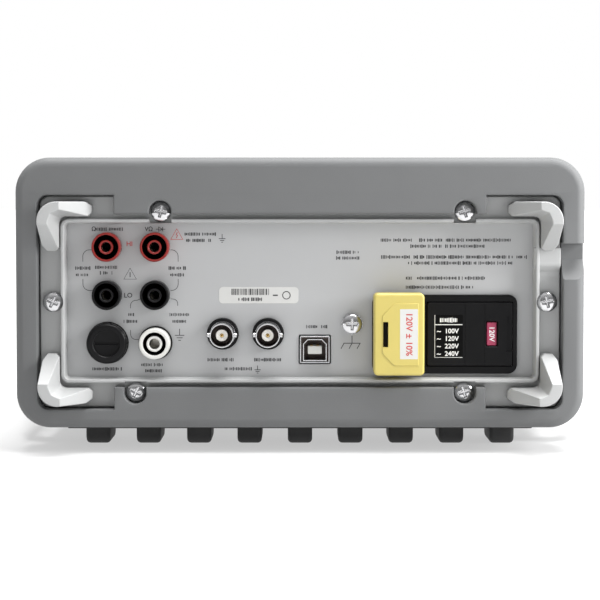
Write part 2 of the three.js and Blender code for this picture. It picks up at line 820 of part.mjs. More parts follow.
// A U-shaped frame: two arms with pivot eyes, joined by the bar inside the grip.
function handleFrame() {
  const y0 = handleReachY - barWidth / 2;
  const y1 = handleReachY + barWidth / 2;
  const low = gripMidZ - barHeight / 2;
  const high = gripMidZ + barHeight / 2;
  const side = new THREE.Shape();
  side.absarc(handlePivotY, handlePivotZ, handleHub, 1.2, -1.9, false);
  side.lineTo(y0 - 8, low);
  side.lineTo(y1, low);
  side.lineTo(y1, high);
  side.lineTo(y0, high);
  const arms = slabX(side.extractPoints(5).shape, -armOuter, armOuter);
  const beyond = handlePivotY - 2 * handleHub;
  const bend = (half, y, radius) =>
    roundedOutline(2 * half, 2 * (y - beyond), radius, 0, beyond);
  const outside = slabZ(bend(armOuter, y1, handleBend), floorZ, halfH);
  const inside = slabZ(bend(armInner, y0, handleBend - handleArm), floorZ - 1, halfH + 1);
  const section = slab(roundedOutline(2 * armOuter, -2 * low, handleEdge), beyond, y1 + 1);
  const clear = 1;
  const caseRoom = block(-halfW - clear, halfW + clear, beyond, y1 + 1, -halfH - clear, halfH);
  const bore = new THREE.CylinderGeometry(pivotPin + 0.4, pivotPin + 0.4, 3 * armOuter, 20);
  const bores = solid(bore.rotateZ(Math.PI / 2).translate(0, handlePivotY, handlePivotZ));
  return cut(arms.intersect(outside).intersect(section), [inside, caseRoom, bores]);
}

// The rubber sleeve round the bar, with its row of grip ribs.
function handleGrip() {
  const outline = (h, w) => roundedOutline(w, h, 3.5, handleReachY, gripMidZ, 2);
  const base = slabX(outline(gripHeight, gripWidth), -gripHalf, gripHalf);
  const ribs = [];
  for (let i = 0; i < gripRibs; i += 1) {
    const x = (i - (gripRibs - 1) / 2) * gripRibPitch;
    const low = floorZ;
    const high = gripTopZ + 0.6;
    const rib = roundedOutline(gripWidth + 5, high - low, 4, handleReachY, (low + high) / 2, 2);
    ribs.push(slabX(rib, x - gripRibWidth / 2, x + gripRibWidth / 2));
  }
  const hollow = slabX(
    roundedOutline(barWidth + 2 * GAP, barHeight + 2 * GAP, 0.5, handleReachY, gripMidZ, 1),
    -gripHalf - 1,
    gripHalf + 1,
  );
  return cut(joined([base, ...ribs]), [hollow]);
}

function pivotPinBody(side) {
  const start = halfW + GAP;
  const seat = armInner - GAP;
  const cap = armOuter + GAP;
  const end = cap + pivotCapDepth;
  const pin = turned([
    [0, start],
    [10, start],
    [10, seat],
    [pivotPin, seat],
    [pivotPin, cap],
    [pivotCap, cap],
    [pivotCap, end - 3],
    [pivotCap - 3, end],
    [0, end],
  ], 24);
  return pin.rotate([0, 0, side > 0 ? -90 : 90]).translate([0, handlePivotY, handlePivotZ]);
}

// ---------- front ----------
function frontJackPlaces() {
  const places = {};
  const columns = { input: frontJackX, sense: frontJackX - jackPitch };
  for (const [name, x] of Object.entries(columns)) {
    places[`front_${name}_hi_jack`] = [x, frontJackZ, redPlastic];
    places[`front_${name}_lo_jack`] = [x, frontJackZ - jackPitch, blackPlastic];
  }
  places.front_amps_jack = [frontJackX, frontJackZ - 2 * jackPitch, whitePlastic];
  return places;
}

function keyPlaces() {
  const places = [];
  for (let row = 0; row < keyRows; row += 1) {
    for (let column = 0; column < keyColumns; column += 1) {
      places.push([keyFirst.x + column * keyPitch.x, keyFirst.z - row * keyPitch.z]);
    }
  }
  return places;
}

// The moulded front: a raised face inside the bumper, cut for everything that comes through it.
function frontPanel() {
  const back = frontY + frontPlate;
  const face = slab(
    roundedOutline(2 * flangeHalfW, 2 * flangeHalfH, openingCorner - 0.4),
    frontY,
    back + 1,
  );
  const skirt = slab(roundedOutline(caseWidth, caseHeight, caseCorner), back, back + 8);
  const inside = slab(
    roundedOutline(caseWidth - 10, caseHeight - 10, 2),
    back,
    back + 9,
  );
  const d = displayWindow;
  const recess = slab(
    roundedOutline(d.width + 2 * GAP, d.height + 2 * GAP, 2, d.x, d.z),
    frontY - 1,
    frontY + d.lens + GAP,
  );
  const sight = slab(
    roundedOutline(d.width - 2 * d.border, d.height - 2 * d.border, 1, d.x, d.z, 2),
    frontY,
    back + 1,
  );
  const holes = keyPlaces().map(([x, z]) => {
    const { width, height, corner } = keySize;
    const outline = roundedOutline(width + 2 * GAP, height + 2 * GAP, corner, x, z, 2);
    return slab(outline, frontY - 1, back + 1);
  });
  for (const b of [powerButton, inputsButton]) {
    const side = b.size + 2 * GAP;
    holes.push(slab(roundedOutline(side, side, 1.5, b.x, b.z, 2), frontY - 1, back + 1));
  }
  for (const [x, z] of Object.values(frontJackPlaces())) {
    holes.push(rod(jackShroud.body + GAP, frontY - 1, back + 1, x, z));
  }
  return cut(face.add(skirt), [inside, recess, sight, ...holes]);
}

// A key or button: a cap through the panel and a wider foot behind it.
function pushKey(x, z, width, height, proud, radius) {
  const back = frontY + frontPlate;
  const cap = loft([
    { y: frontY - proud, w: width - 1, h: height - 1, r: radius - 0.2, x, z },
    { y: frontY - proud + 0.7, w: width, h: height, r: radius, x, z },
    { y: back + GAP + 0.1, w: width, h: height, r: radius, x, z },
  ], 1);
  const foot = block(
    x - width / 2 - 1,
    x + width / 2 + 1,
    back + GAP,
    back + GAP + 1.4,
    z - height / 2 - 1,
    z + height / 2 + 1,
  );
  return cap.add(foot);
}

function displayLens() {
  const d = displayWindow;
  return slab(roundedOutline(d.width, d.height, 2, d.x, d.z), frontY + 0.1, frontY + d.lens);
}

function displayModule() {
  const d = displayWindow;
  const y0 = frontY + frontPlate + GAP;
  const hw = d.width / 2 - 1;
  const hh = d.height / 2 - 2;
  return block(d.x - hw, d.x + hw, y0, y0 + 6, d.z - hh, d.z + hh);
}

function frontBoard() {
  const y0 = frontY + frontPlate + GAP + 6 + GAP;
  return block(-halfW + 8, frontJackX - jackPitch - 10, y0, y0 + boardThickness, -36, 36);
}

// ---------- assembly ----------
place("case_sleeve", caseSleeve(), casePaint);
place("chassis", chassisTray(), sheetSteel);
place("main_board", mainBoard(), boardGreen);
place("power_transformer", powerTransformer(), sheetSteel);
place("rear_panel", connectorPanel(), panelPaint);
place("rear_bezel", rearBezel(), bezelPlastic);
screwPlaces.forEach((spot, i) => place(`bezel_screw_${i + 1}`, bezelScrew(spot), steel));
place("rear_bumper", rearBumper(), bumperRubber);
place("front_bumper", frontBumper(), bumperRubber);

const inputX = jackHiX;
const senseX = jackHiX + jackPitch;
const rows = [0, 1, 2].map((row) => jackHiZ - row * jackPitch);
place("input_hi_jack", jack(inputX, rows[0]), redPlastic);
place("sense_hi_jack", jack(senseX, rows[0]), redPlastic);
place("input_lo_jack", jack(inputX, rows[1]), blackPlastic);
place("sense_lo_jack", jack(senseX, rows[1]), blackPlastic);
place("amps_jack_collar", ampsJackCollar(inputX, rows[2]), blackPlastic);
place("amps_jack", ampsJack(inputX, rows[2]), whitePlastic);
place("fuse_holder", fuseHolder(senseX, rows[2]), blackPlastic);
place("fuse_cap", fuseCap(senseX, rows[2]), blackPlastic);
place("cartridge_fuse", cartridgeFuse(senseX, rows[2]), fuseGlass);
place("trigger_out_socket", coaxSocket(bncX + bncPitch, bncZ), steel);
place("trigger_in_socket", coaxSocket(bncX, bncZ), steel);
place("usb_socket", usbSocket(), steel);
place("earth_screw", earthScrewBody(), steel);

place("power_inlet", powerInlet(), blackPlastic);
place("inlet_earth_pin", inletPin(3.5, 0), steel);
place("inlet_line_pin", inletPin(-2, 7), steel);
place("inlet_neutral_pin", inletPin(-2, -7), steel);
place("fuse_drawer", fuseDrawer(), blackPlastic);
place("voltage_selector", voltageSelector(), labelRed);
place("mains_fuse", mainsFuse(), fuseGlass);
place("inlet_cover", inletCover(), yellowPlastic);

place("handle_frame", handleFrame(), bumperRubber);
place("handle_grip", handleGrip(), gripRubber);
place("pivot_pin_left", pivotPinBody(-1), bumperRubber);
place("pivot_pin_right", pivotPinBody(1), bumperRubber);

place("front_panel", frontPanel(), bezelPlastic);
place("display_lens", displayLens(), lensGlass);
place("display_module", displayModule(), blackPlastic);
place("front_board", frontBoard(), boardGreen);
for (const [name, [x, z, colour]] of Object.entries(frontJackPlaces())) {
  const { outer, body, inner } = jackShroud;
  const profile = shroudedProfile(outer, body, inner, GAP, 6, 16);
  place(name, turned(profile).rotate([0, 0, 180]).translate([x, frontY, z]), colour);
}
keyPlaces().forEach(([x, z], i) => {
  const { width, height, proud, corner } = keySize;
  place(`key_${String(i + 1).padStart(2, "0")}`, pushKey(x, z, width, height, proud, corner), keyPlastic);
});
const { x: powerX, z: powerZ, size: powerSize, proud: powerProud } = powerButton;
place("power_button", pushKey(powerX, powerZ, powerSize, powerSize, powerProud, 1.5), keyPlastic);
const { x: inputsX, z: inputsZ, size: inputsSize, proud: inputsProud } = inputsButton;
place("inputs_button", pushKey(inputsX, inputsZ, inputsSize, inputsSize, inputsProud, 1.5), keyPlastic);

// The origin is at the floor, under the middle of the object's length.
const rearMost = flangeProud + standHeight;
const frontMost = frontY - frontProud;
object.position.set(0, -(rearMost + frontMost) / 2, -floorZ);

export default object;
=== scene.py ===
import math
import random

import bmesh
import bpy
from mathutils import Matrix, Vector
from mathutils.geometry import tessellate_polygon


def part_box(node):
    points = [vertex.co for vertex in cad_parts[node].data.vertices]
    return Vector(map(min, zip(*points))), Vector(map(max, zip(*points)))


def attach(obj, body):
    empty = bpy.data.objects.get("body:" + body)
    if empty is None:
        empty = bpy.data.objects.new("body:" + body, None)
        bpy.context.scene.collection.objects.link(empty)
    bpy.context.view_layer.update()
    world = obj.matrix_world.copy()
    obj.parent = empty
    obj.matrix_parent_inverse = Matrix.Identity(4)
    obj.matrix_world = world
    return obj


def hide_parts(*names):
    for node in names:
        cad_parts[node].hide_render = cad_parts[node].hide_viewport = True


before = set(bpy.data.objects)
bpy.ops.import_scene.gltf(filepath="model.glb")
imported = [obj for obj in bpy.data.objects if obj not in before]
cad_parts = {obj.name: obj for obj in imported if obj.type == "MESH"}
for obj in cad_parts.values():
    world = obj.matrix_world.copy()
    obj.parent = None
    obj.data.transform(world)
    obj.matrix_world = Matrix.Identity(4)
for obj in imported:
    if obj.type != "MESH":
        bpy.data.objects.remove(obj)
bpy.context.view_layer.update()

# ---------- Room ----------
# A plain pale light table, softly lit through its top, in a pale room: a broad ceiling light from above
# and a soft lamp at the right of the connector side, with the camera square to that side and a little above.
camera_data = bpy.data.cameras.new("camera")
camera_data.lens = 120.9
camera_data.sensor_width = 36.0
camera_data.clip_end = 50.0
camera = bpy.data.objects.new("camera", camera_data)
camera.location = (0.0, 0.9175, 0.0999)
camera.rotation_euler = (math.radians(90.0 - 2.84), 0.0, math.radians(180.0))
bpy.context.scene.collection.objects.link(camera)
bpy.context.scene.camera = camera
bpy.context.scene.view_settings.view_transform = "Standard"

table_mesh = bpy.data.meshes.new("table_top")
table_mesh.from_pydata(
    [(-20.0, -20.0, 0.0), (20.0, -20.0, 0.0), (20.0, 20.0, 0.0), (-20.0, 20.0, 0.0)],
    [],
    [(0, 1, 2, 3)],
)
table = bpy.data.objects.new("table_top", table_mesh)
bpy.context.scene.collection.objects.link(table)
table_paint = bpy.data.materials.new("table_paint")
table_paint.use_nodes = True
table_shader = table_paint.node_tree.nodes["Principled BSDF"]
table_shader.inputs["Base Color"].default_value = (0.3, 0.3, 0.3, 1.0)
table_shader.inputs["Roughness"].default_value = 0.8
table_shader.inputs["Specular IOR Level"].default_value = 0.1
table_shader.inputs["Emission Color"].default_value = (1.0, 1.0, 1.0, 1.0)
table_shader.inputs["Emission Strength"].default_value = 0.5
table_mesh.materials.append(table_paint)

world = bpy.data.worlds.new("pale_room")
world.use_nodes = True
bpy.context.scene.world = world
world_nodes = world.node_tree.nodes
world_links = world.node_tree.links
room_light = world_nodes["Background"]
room_light.inputs["Color"].default_value = (1.0, 1.0, 1.0, 1.0)
direction = world_nodes.new("ShaderNodeTexCoord")
height = world_nodes.new("ShaderNodeSeparateXYZ")
world_links.new(direction.outputs["Generated"], height.inputs["Vector"])
dimmer = world_nodes.new("ShaderNodeMapRange")
dimmer.inputs["From Min"].default_value = 0.05
dimmer.inputs["From Max"].default_value = 1.0
dimmer.inputs["To Min"].default_value = 0.08
dimmer.inputs["To Max"].default_value = 0.95
world_links.new(height.outputs["Z"], dimmer.inputs["Value"])
world_links.new(dimmer.outputs["Result"], room_light.inputs["Strength"])
wall_seen = world_nodes.new("ShaderNodeBackground")
wall_seen.inputs["Color"].default_value = (1.0, 1.0, 1.0, 1.0)
wall_seen.inputs["Strength"].default_value = 1.0
ray_kind = world_nodes.new("ShaderNodeLightPath")
seen_or_lit = world_nodes.new("ShaderNodeMixShader")
world_links.new(ray_kind.outputs["Is Camera Ray"], seen_or_lit.inputs[0])
world_links.new(room_light.outputs[0], seen_or_lit.inputs[1])
world_links.new(wall_seen.outputs[0], seen_or_lit.inputs[2])
world_links.new(seen_or_lit.outputs[0], world_nodes["World Output"].inputs["Surface"])

ceiling_data = bpy.data.lights.new("ceiling_light", "SUN")
ceiling_data.energy = 6.4
ceiling_data.angle = math.radians(40.0)
ceiling = bpy.data.objects.new("ceiling_light", ceiling_data)
ceiling.rotation_euler = Vector((0.16, 0.0, -1.0)).to_track_quat("-Z", "Y").to_euler()
bpy.context.scene.collection.objects.link(ceiling)
lamp_data = bpy.data.lights.new("lamp_right", "AREA")
lamp_data.shape = "SQUARE"
lamp_data.size = 0.28
lamp_data.energy = 4.3
lamp = bpy.data.objects.new("lamp_right", lamp_data)
lamp.location = (-0.5, 0.265, 0.24)
lamp.rotation_euler = (Vector((-0.06, 0.14, 0.06)) - lamp.location).to_track_quat("-Z", "Y").to_euler()
bpy.context.scene.collection.objects.link(lamp)


# ---------- Rear bumper ----------
# A soft grey elastomer sleeve, injection moulded in one piece and pushed over the end of the case. Two
# lips in the middle cover the bezel's edge, notched round four screws, and one side lets the cord out.
panel_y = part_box("rear_panel")[1][1]
middle_z = (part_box("case_sleeve")[0][2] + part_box("case_sleeve")[1][2]) / 2


def at(x, y, z):
    """A point of the meter's own frame: millimetres, Y from the panel's face, Z from the case's middle."""
    return Vector((x * 0.001, panel_y + y * 0.001, middle_z + z * 0.001))


def place_of(node):
    """The middle of one of the meter's parts, across and up."""
    low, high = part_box(node)
    x = (low[0] + high[0]) / 2 * 1000
    z = ((low[2] + high[2]) / 2 - middle_z) * 1000
    return x, z


def rounded(width, height, radius, x=0.0, z=0.0, steps=8):
    """Anticlockwise outline of a rectangle with rounded corners, in X and Z."""
    loop = []
    for corner, (sx, sz) in enumerate(((1, 1), (-1, 1), (-1, -1), (1, -1))):
        for step in range(steps + 1):
            angle = math.pi / 2 * (corner + step / steps)
            loop.append(
                (
                    x + sx * (width / 2 - radius) + radius * math.cos(angle),
                    z + sz * (height / 2 - radius) + radius * math.sin(angle),
                )
            )
    return loop


def circle(radius, x=0.0, z=0.0, steps=48):
    turn = [2 * math.pi * step / steps for step in range(steps)]
    return [(x + radius * math.cos(a), z + radius * math.sin(a)) for a in turn]


def moved_in(loop, depth):
    """The same outline, moved in by a depth, or out where the depth is negative."""
    moved = []
    for i, (x, z) in enumerate(loop):
        before = Vector((x - loop[i - 1][0], z - loop[i - 1][1])).normalized()
        after = loop[(i + 1) % len(loop)]
        after = Vector((after[0] - x, after[1] - z)).normalized()
        side = Vector((-before.y - after.y, before.x + after.x))
        side *= depth / (1.0 + before.dot(after))
        moved.append((x + side.x, z + side.y))
    return moved


def edge_round(y, radius, way=1, steps=5):
    """Profile steps round an outer edge: way 1 closes towards +Y, -1 opens from the back."""
    quarter = [math.pi / 2 * step / steps for step in range(steps + 1)]
    walk = [(y - way * radius * (1 - math.sin(a)), radius * (1 - math.cos(a))) for a in quarter]
    return walk if way > 0 else walk[::-1]


def pressing(outline, profile, holes=()):
    """A closed plate or block along Y. Each outline has a profile of (y, depth it is moved in)."""
    points, faces, ends = [], [], ([], [])
    for loop, steps in [(outline, profile), *holes]:
        first, count = len(points), len(loop)
        for y, depth in steps:
            points += [(x, y, z) for x, z in moved_in(loop, depth)]
        for step in range(len(steps) - 1):
            a = first + step * count
            for i in range(count):
                j = (i + 1) % count
                faces.append((a + i, a + j, a + count + j, a + count + i))
        ends[0].append(range(first, first + count))
        ends[1].append(range(len(points) - count, len(points)))
    for rings in ends:
        numbers = [i for ring in rings for i in ring]
        loops = [[Vector((points[i][0], points[i][2], 0.0)) for i in ring] for ring in rings]
        faces += [tuple(numbers[k] for k in tri) for tri in tessellate_polygon(loops)]
    return points, faces


def rough_piece(name, *shapes):
    """An object from shapes of (points in the meter's frame, faces, and maybe a finish number)."""
    work = bmesh.new()
    for points, faces, *number in shapes:
        corners = [work.verts.new(at(*point)) for point in points]
        for face in faces:
            try:
                made = work.faces.new([corners[i] for i in face])
            except ValueError:
                continue
            made.material_index = number[0] if number else 0
    bmesh.ops.recalc_face_normals(work, faces=work.faces)
    mesh = bpy.data.meshes.new(name)
    work.to_mesh(mesh)
    work.free()
    piece = bpy.data.objects.new(name, mesh)
    bpy.context.scene.collection.objects.link(piece)
    return piece


def settle(piece):
    """Makes the piece's modifiers part of its mesh."""
    bpy.context.view_layer.update()
    seen = piece.evaluated_get(bpy.context.evaluated_depsgraph_get())
    mesh = bpy.data.meshes.new_from_object(seen)
    piece.modifiers.clear()
    piece.data = mesh
    mesh.name = piece.name


def combine(piece, other, how):
    """Cuts the other piece out of this one, or melts it in, and clears the other away."""
    change = piece.modifiers.new("combine", "BOOLEAN")
    change.operation = how
    change.solver = "EXACT"
    change.object = other
    settle(piece)
    bpy.data.objects.remove(other)


def carve(piece, *shapes, how="DIFFERENCE"):
    for shape in shapes:
        combine(piece, rough_piece("tool", shape), how)


def block(points):
    """A closed straight block from the corners of its two ends, one whole end after the other."""
    count = len(points) // 2
    faces = [tuple(range(count)), tuple(range(2 * count - 1, count - 1, -1))]
    faces += [(i, (i + 1) % count, (i + 1) % count + count, i + count) for i in range(count)]
    return points, faces


def soften_edges(piece, radius, angle=35.0, segments=3, joined=0.02):
    """Rounds every edge sharper than the angle; corners nearer than `joined` become one first."""
    work = bmesh.new()
    work.from_mesh(piece.data)
    bmesh.ops.remove_doubles(work, verts=work.verts, dist=joined * 0.001)
    bmesh.ops.dissolve_limit(work, angle_limit=math.radians(1.0), verts=work.verts, edges=work.edges)
    work.to_mesh(piece.data)
    work.free()
    change = piece.modifiers.new("soften", "BEVEL")
    change.width = radius * 0.001
    change.segments = segments
    change.limit_method = "ANGLE"
    change.angle_limit = math.radians(angle)
    settle(piece)


def finished(piece, finishes, body="case", stands_for=()):
    """Shades the piece, gives it its finishes, and hangs it on the body it moves with."""
    mesh = piece.data
    for polygon in mesh.polygons:
        polygon.use_smooth = True
    mesh.set_sharp_from_angle(angle=math.radians(32.0))
    change = piece.modifiers.new("shade", "WEIGHTED_NORMAL")
    change.keep_sharp = True
    settle(piece)
    for number, finish in enumerate(finishes):
        if number < len(piece.data.materials):
            piece.data.materials[number] = finish
        else:
            piece.data.materials.append(finish)
    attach(piece, body)
    if stands_for:
        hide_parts(*stands_for)
    return piece


def surface(
    name, colour, roughness, metal=0.0, tone=0.08, patch=18.0, grain=0.35, bump=0.25, spread=0.06, shine=0.5
):
    """A finish with uneven tone in patches, and a fine grain that breaks up its gloss. Sizes in mm."""
    finish = bpy.data.materials.new(name)
    finish.use_nodes = True
    nodes, links = finish.node_tree.nodes, finish.node_tree.links
    shader = nodes["Principled BSDF"]
    shader.inputs["Metallic"].default_value = metal
    shader.inputs["Specular IOR Level"].default_value = shine
    place = nodes.new("ShaderNodeTexCoord")
    patches = nodes.new("ShaderNodeTexNoise")
    patches.inputs["Scale"].default_value = 1000.0 / patch
    patches.inputs["Detail"].default_value = 3.0
    links.new(place.outputs["Object"], patches.inputs["Vector"])
    tones = nodes.new("ShaderNodeMix")
    tones.data_type = "RGBA"
    tones.inputs["A"].default_value = (*[c * (1.0 - tone) for c in colour], 1.0)
    tones.inputs["B"].default_value = (*[min(1.0, c * (1.0 + tone)) for c in colour], 1.0)
    links.new(patches.outputs["Fac"], tones.inputs["Factor"])
    links.new(tones.outputs["Result"], shader.inputs["Base Color"])
    fine = nodes.new("ShaderNodeTexNoise")
    fine.inputs["Scale"].default_value = 1000.0 / grain
    fine.inputs["Detail"].default_value = 2.0
    links.new(place.outputs["Object"], fine.inputs["Vector"])
    gloss = nodes.new("ShaderNodeMapRange")
    gloss.inputs["To Min"].default_value = max(0.02, roughness - spread)
    gloss.inputs["To Max"].default_value = min(1.0, roughness + spread)
    links.new(fine.outputs["Fac"], gloss.inputs["Value"])
    links.new(gloss.outputs["Result"], shader.inputs["Roughness"])
    relief = nodes.new("ShaderNodeBump")
    relief.inputs["Strength"].default_value = bump
    relief.inputs["Distance"].default_value = 0.0001
    links.new(fine.outputs["Fac"], relief.inputs["Height"])
    links.new(relief.outputs["Normal"], shader.inputs["Normal"])
    return finish


bumper_elastomer = surface(
    "bumper_elastomer", (0.142, 0.145, 0.147), 0.62, tone=0.05, grain=0.5, bump=0.35, shine=0.3
)

bumper_face, bumper_length = 9.0, 31.0
bumper_back = bumper_face - bumper_length
bumper_outline = rounded(224.0, 106.6, 13.5, 0.0, 3.7, steps=12)
case_seat = rounded(213.6, 88.6, 4.0)
opening_x, opening_z = 103.4, 42.2
lip_x, lip_top, lip_bottom = 73.2, 34.8, -33.5
notch_radius = 4.4
bezel_screws = [place_of(f"bezel_screw_{number}") for number in range(1, 7)]


def lip_edge(sign, lip_z, screws):
    """One lip's edge from the right end to the left, with a round-ended notch at each screw."""
    edge = [(lip_x, sign * opening_z), (lip_x, lip_z)]
    for x, z in sorted(screws, reverse=True):
        edge.append((x + notch_radius, lip_z))
        for step in range(17):
            angle = math.pi * step / 16
            edge.append((x + notch_radius * math.cos(angle), z + sign * notch_radius * math.sin(angle)))
        edge.append((x - notch_radius, lip_z))
    return edge + [(-lip_x, lip_z), (-lip_x, sign * opening_z)]


corners = rounded(2 * opening_x, 2 * opening_z, 4.0, steps=6)
opening = (
    corners[:7]
    + lip_edge(1, lip_top, [s for s in bezel_screws if s[1] > 5])
    + corners[7:21]
    + lip_edge(-1, lip_bottom, [s for s in bezel_screws if s[1] < -5])[::-1]
    + corners[21:]
)
bumper_mouth = [(bumper_back, 0.0), (bumper_face - 0.7, 0.0), (bumper_face - 0.2, -0.2), (bumper_face, -0.7)]
rear_bumper = rough_piece(
    "rear_bumper_sleeve",
    pressing(
        bumper_outline,
        edge_round(bumper_back, 1.2, way=-1) + edge_round(bumper_face, 3.5, steps=7),
        [(opening, bumper_mouth)],
    ),
)
carve(
    rear_bumper,
    pressing(case_seat, [(bumper_back - 1.0, 0.0), (-0.7, 0.0)]),
    pressing(rounded(2 * opening_x, 2 * opening_z, 4.0), [(-1.7, 0.0), (2.3, 0.0)]),
)
cord_way = [(2.0, 23.3), (2.0, 16.9), (9.1, 9.0), (10.0, 9.0), (10.0, 23.3)]
carve(rear_bumper, block([(x, y, z) for x in (-114.5, -102.4) for y, z in cord_way]))
finished(rear_bumper, [bumper_elastomer], stands_for=["rear_bumper"])


# ---------- Rear bezel ----------
# One light grey ABS moulding round the connector panel: a flange, a raised rim that slopes in to the
# panel, four L-shaped corner stands that the meter can be stood on, and a saddle for the cord.
bezel_plastic = surface("bezel_plastic", (0.42, 0.425, 0.425), 0.45, tone=0.035, grain=0.45, bump=0.3)

rim_x, rim_z, rim_middle = 94.6, 32.55, 0.5
rim_lean = 2.5
window = rounded(2 * rim_x, 2 * rim_z, 3.4, 0.0, rim_middle)
flange_face, rim_face = 2.0, 6.0
rear_bezel = rough_piece(
    "rear_bezel_moulding",
    pressing(
        rounded(206.0, 83.6, 3.6),
        [(-1.5, 0.0)] + edge_round(flange_face, 0.5, steps=3),
        [(window, [(-1.5, rim_lean), (flange_face, 1.5)])],
    ),
)
carve(
    rear_bezel,
    pressing(
        window,
        [(1.0, 0.0), (5.2, 0.05), (5.65, 0.14), (5.9, 0.32), (rim_face, 0.55)],
        [(window, [(1.0, 2.15), (5.3, 1.62), (5.75, 1.5), (rim_face, 1.25)])],
    ),
    pressing(
        rounded(213.0, 88.0, 4.0),
        [(-8.0, 0.0), (-1.0, 0.0)],
        [(rounded(204.6, 80.6, 2.0), [(-8.0, 0.0), (-1.0, 0.0)])],
    ),
    how="UNION",
)
saddle_rise = [(2.1, 11.4), (2.6, 12.2), (4.8, 14.0), (5.3, 14.8), (5.4, 15.6)]
saddle = [(1.0, 9.4), (flange_face, 9.4)] + saddle_rise + [(5.4, 21.6), (1.0, 21.6)]
cord_saddle = rough_piece("cord_saddle", block([(x, y, z) for x in (-102.9, -92.4) for y, z in saddle]))
soften_edges(cord_saddle, 0.7, angle=60.0)
combine(rear_bezel, cord_saddle, "UNION")
pocket_radius = 4.4
pocket_run = [(pocket_radius, 4.4), (-pocket_radius, 4.4), (-pocket_radius, 0.0), (pocket_radius, 0.0)]
carve(
    rear_bezel,
    *[pressing(circle(pocket_radius, x, z, 40), [(flange_face, 0.0), (7.0, 0.0)]) for x, z in bezel_screws],
    *[
        pressing(
            [(x + way * u, z - way * v) for u, v in pocket_run],
            [(flange_face, 0.0), (7.0, 0.0)],
        )
        for x, z in bezel_screws
        if abs(z) > 5
        for way in ((1 if z > 0 else -1),)
    ],
)

stand_corner_x, stand_corner_z = 101.7, 39.7
stand_arm_x, stand_arm_z = 19.6, 19.4
stand_wall_x, stand_wall_z = 6.8, 5.8
stand_top, stand_tip, stand_flat = 23.0, 6.2, 8.8


def corner_stand(side_x, side_z):
    """An L of two arms, full height at the corner, falling to low round tips."""
    tip, nose = 1.4, 1.5
    near_x, near_z = stand_corner_x - stand_arm_x, stand_corner_z - stand_arm_z
    plan = [(near_x + 2.4, stand_corner_z)]
    plan += [
        (stand_corner_x - 7.5 + 7.5 * math.sin(a), stand_corner_z - 7.5 + 7.5 * math.cos(a))
        for a in (math.pi / 2 * step / 8 for step in range(9))
    ]
    wall_x, wall_z = stand_corner_x - stand_wall_x, stand_corner_z - stand_wall_z
    plan += [
        (stand_corner_x - 0.4, near_z + 2.4),
        (stand_corner_x - 0.4 - nose, near_z),
        (wall_x + tip, near_z),
        (wall_x, near_z + tip),
        (wall_x, wall_z - 2.4),
        (wall_x - 0.7, wall_z - 0.7),
        (wall_x - 2.4, wall_z),
        (near_x + tip, wall_z),
        (near_x, wall_z + tip),
        (near_x, stand_corner_z - nose),
    ]
    plan = [(side_x * x, side_z * z) for x, z in plan]
    if side_x * side_z > 0:
        plan.reverse()
    stand = rough_piece("stand", pressing(plan, [(1.0, 0.0), (stand_top, 0.0)]))
    inside = [(60.0, 0.0), (wall_x, 0.0), (wall_x, wall_z - 2.4)]
    inside += [(wall_x - 0.7, wall_z - 0.7), (wall_x - 2.4, wall_z), (60.0, wall_z)]
    inside = [(side_x * x, side_z * z) for x, z in inside]
    if side_x * side_z < 0:
        inside.reverse()
    carve(stand, pressing(inside, [(7.5, 0.0), (stand_top + 1.0, -2.8)]))
    slopes = []
    for along, start, corner in ((0, near_x, stand_corner_x), (1, near_z, stand_corner_z)):
        fall = [(start - 1.0, 0.5), (corner + 1.0, 0.5), (corner + 1.0, stand_top + 1.0)]
        fall += [(corner - stand_flat, stand_top + 0.001), (start, stand_tip), (start - 1.0, stand_tip - 1.0)]
        cross = (stand_corner_z - stand_wall_z - 2.5, stand_corner_z + 1.0)
        if along:
            cross = (wall_x - 1.9, stand_corner_x + 1.0)
        points = []
        for c in cross:
            for a, y in fall:
                x, z = (c, a) if along else (a, c)
                points.append((side_x * x, y, side_z * z))
        slopes.append(block(points))
    wedge = rough_piece("wedge", slopes[0])
    carve(wedge, slopes[1], how="UNION")
    combine(stand, wedge, "INTERSECT")
    soften_edges(stand, 1.1, angle=28.0, joined=0.3)
    return stand


for side_x in (1, -1):
    for side_z in (1, -1):
        combine(rear_bezel, corner_stand(side_x, side_z), "UNION")
finished(rear_bezel, [bezel_plastic], stands_for=["rear_bezel"])

# ---------- Connector panel ----------
# Steel sheet, punched for the connectors and finished in a light grey paint with a fine orange peel.
panel_paint = surface("panel_paint", (0.43, 0.435, 0.44), 0.45, tone=0.025, patch=40.0, grain=0.9, bump=0.12)

jack_places = {
    name: place_of(name)
    for name in ("input_hi_jack", "sense_hi_jack", "input_lo_jack", "sense_lo_jack", "amps_jack", "fuse_cap")
}
coax_places = [place_of("trigger_in_socket"), place_of("trigger_out_socket")]
usb_place = place_of("usb_socket")
earth_place = place_of("earth_screw")


def punched(loop):
    return (loop, [(-1.5, 0.0), (-0.15, 0.0), (0.0, -0.15)])


panel_holes = [punched(circle(5.5, *jack_places[name])) for name in list(jack_places)[:4]]
panel_holes += [
    punched(circle(6.2, *jack_places["amps_jack"])),
    punched(circle(7.5, *jack_places["fuse_cap"])),
    punched(circle(2.3, *earth_place, steps=24)),
    punched(rounded(12.8, 11.7, 0.6, *usb_place)),
    punched(rounded(53.9, 27.7, 1.0, -57.4, -12.9)),
]
panel_holes += [punched(circle(5.8, *place)) for place in coax_places]
panel_holes += [punched(circle(1.8, x, z, 20)) for x, z in bezel_screws]
rear_panel = rough_piece(
    "connector_panel",
    pressing(rounded(204.0, 80.0, 2.0), [(-1.5, 0.0), (-0.15, 0.0), (0.0, 0.15)], panel_holes),
)
finished(rear_panel, [panel_paint], stands_for=["rear_panel"])


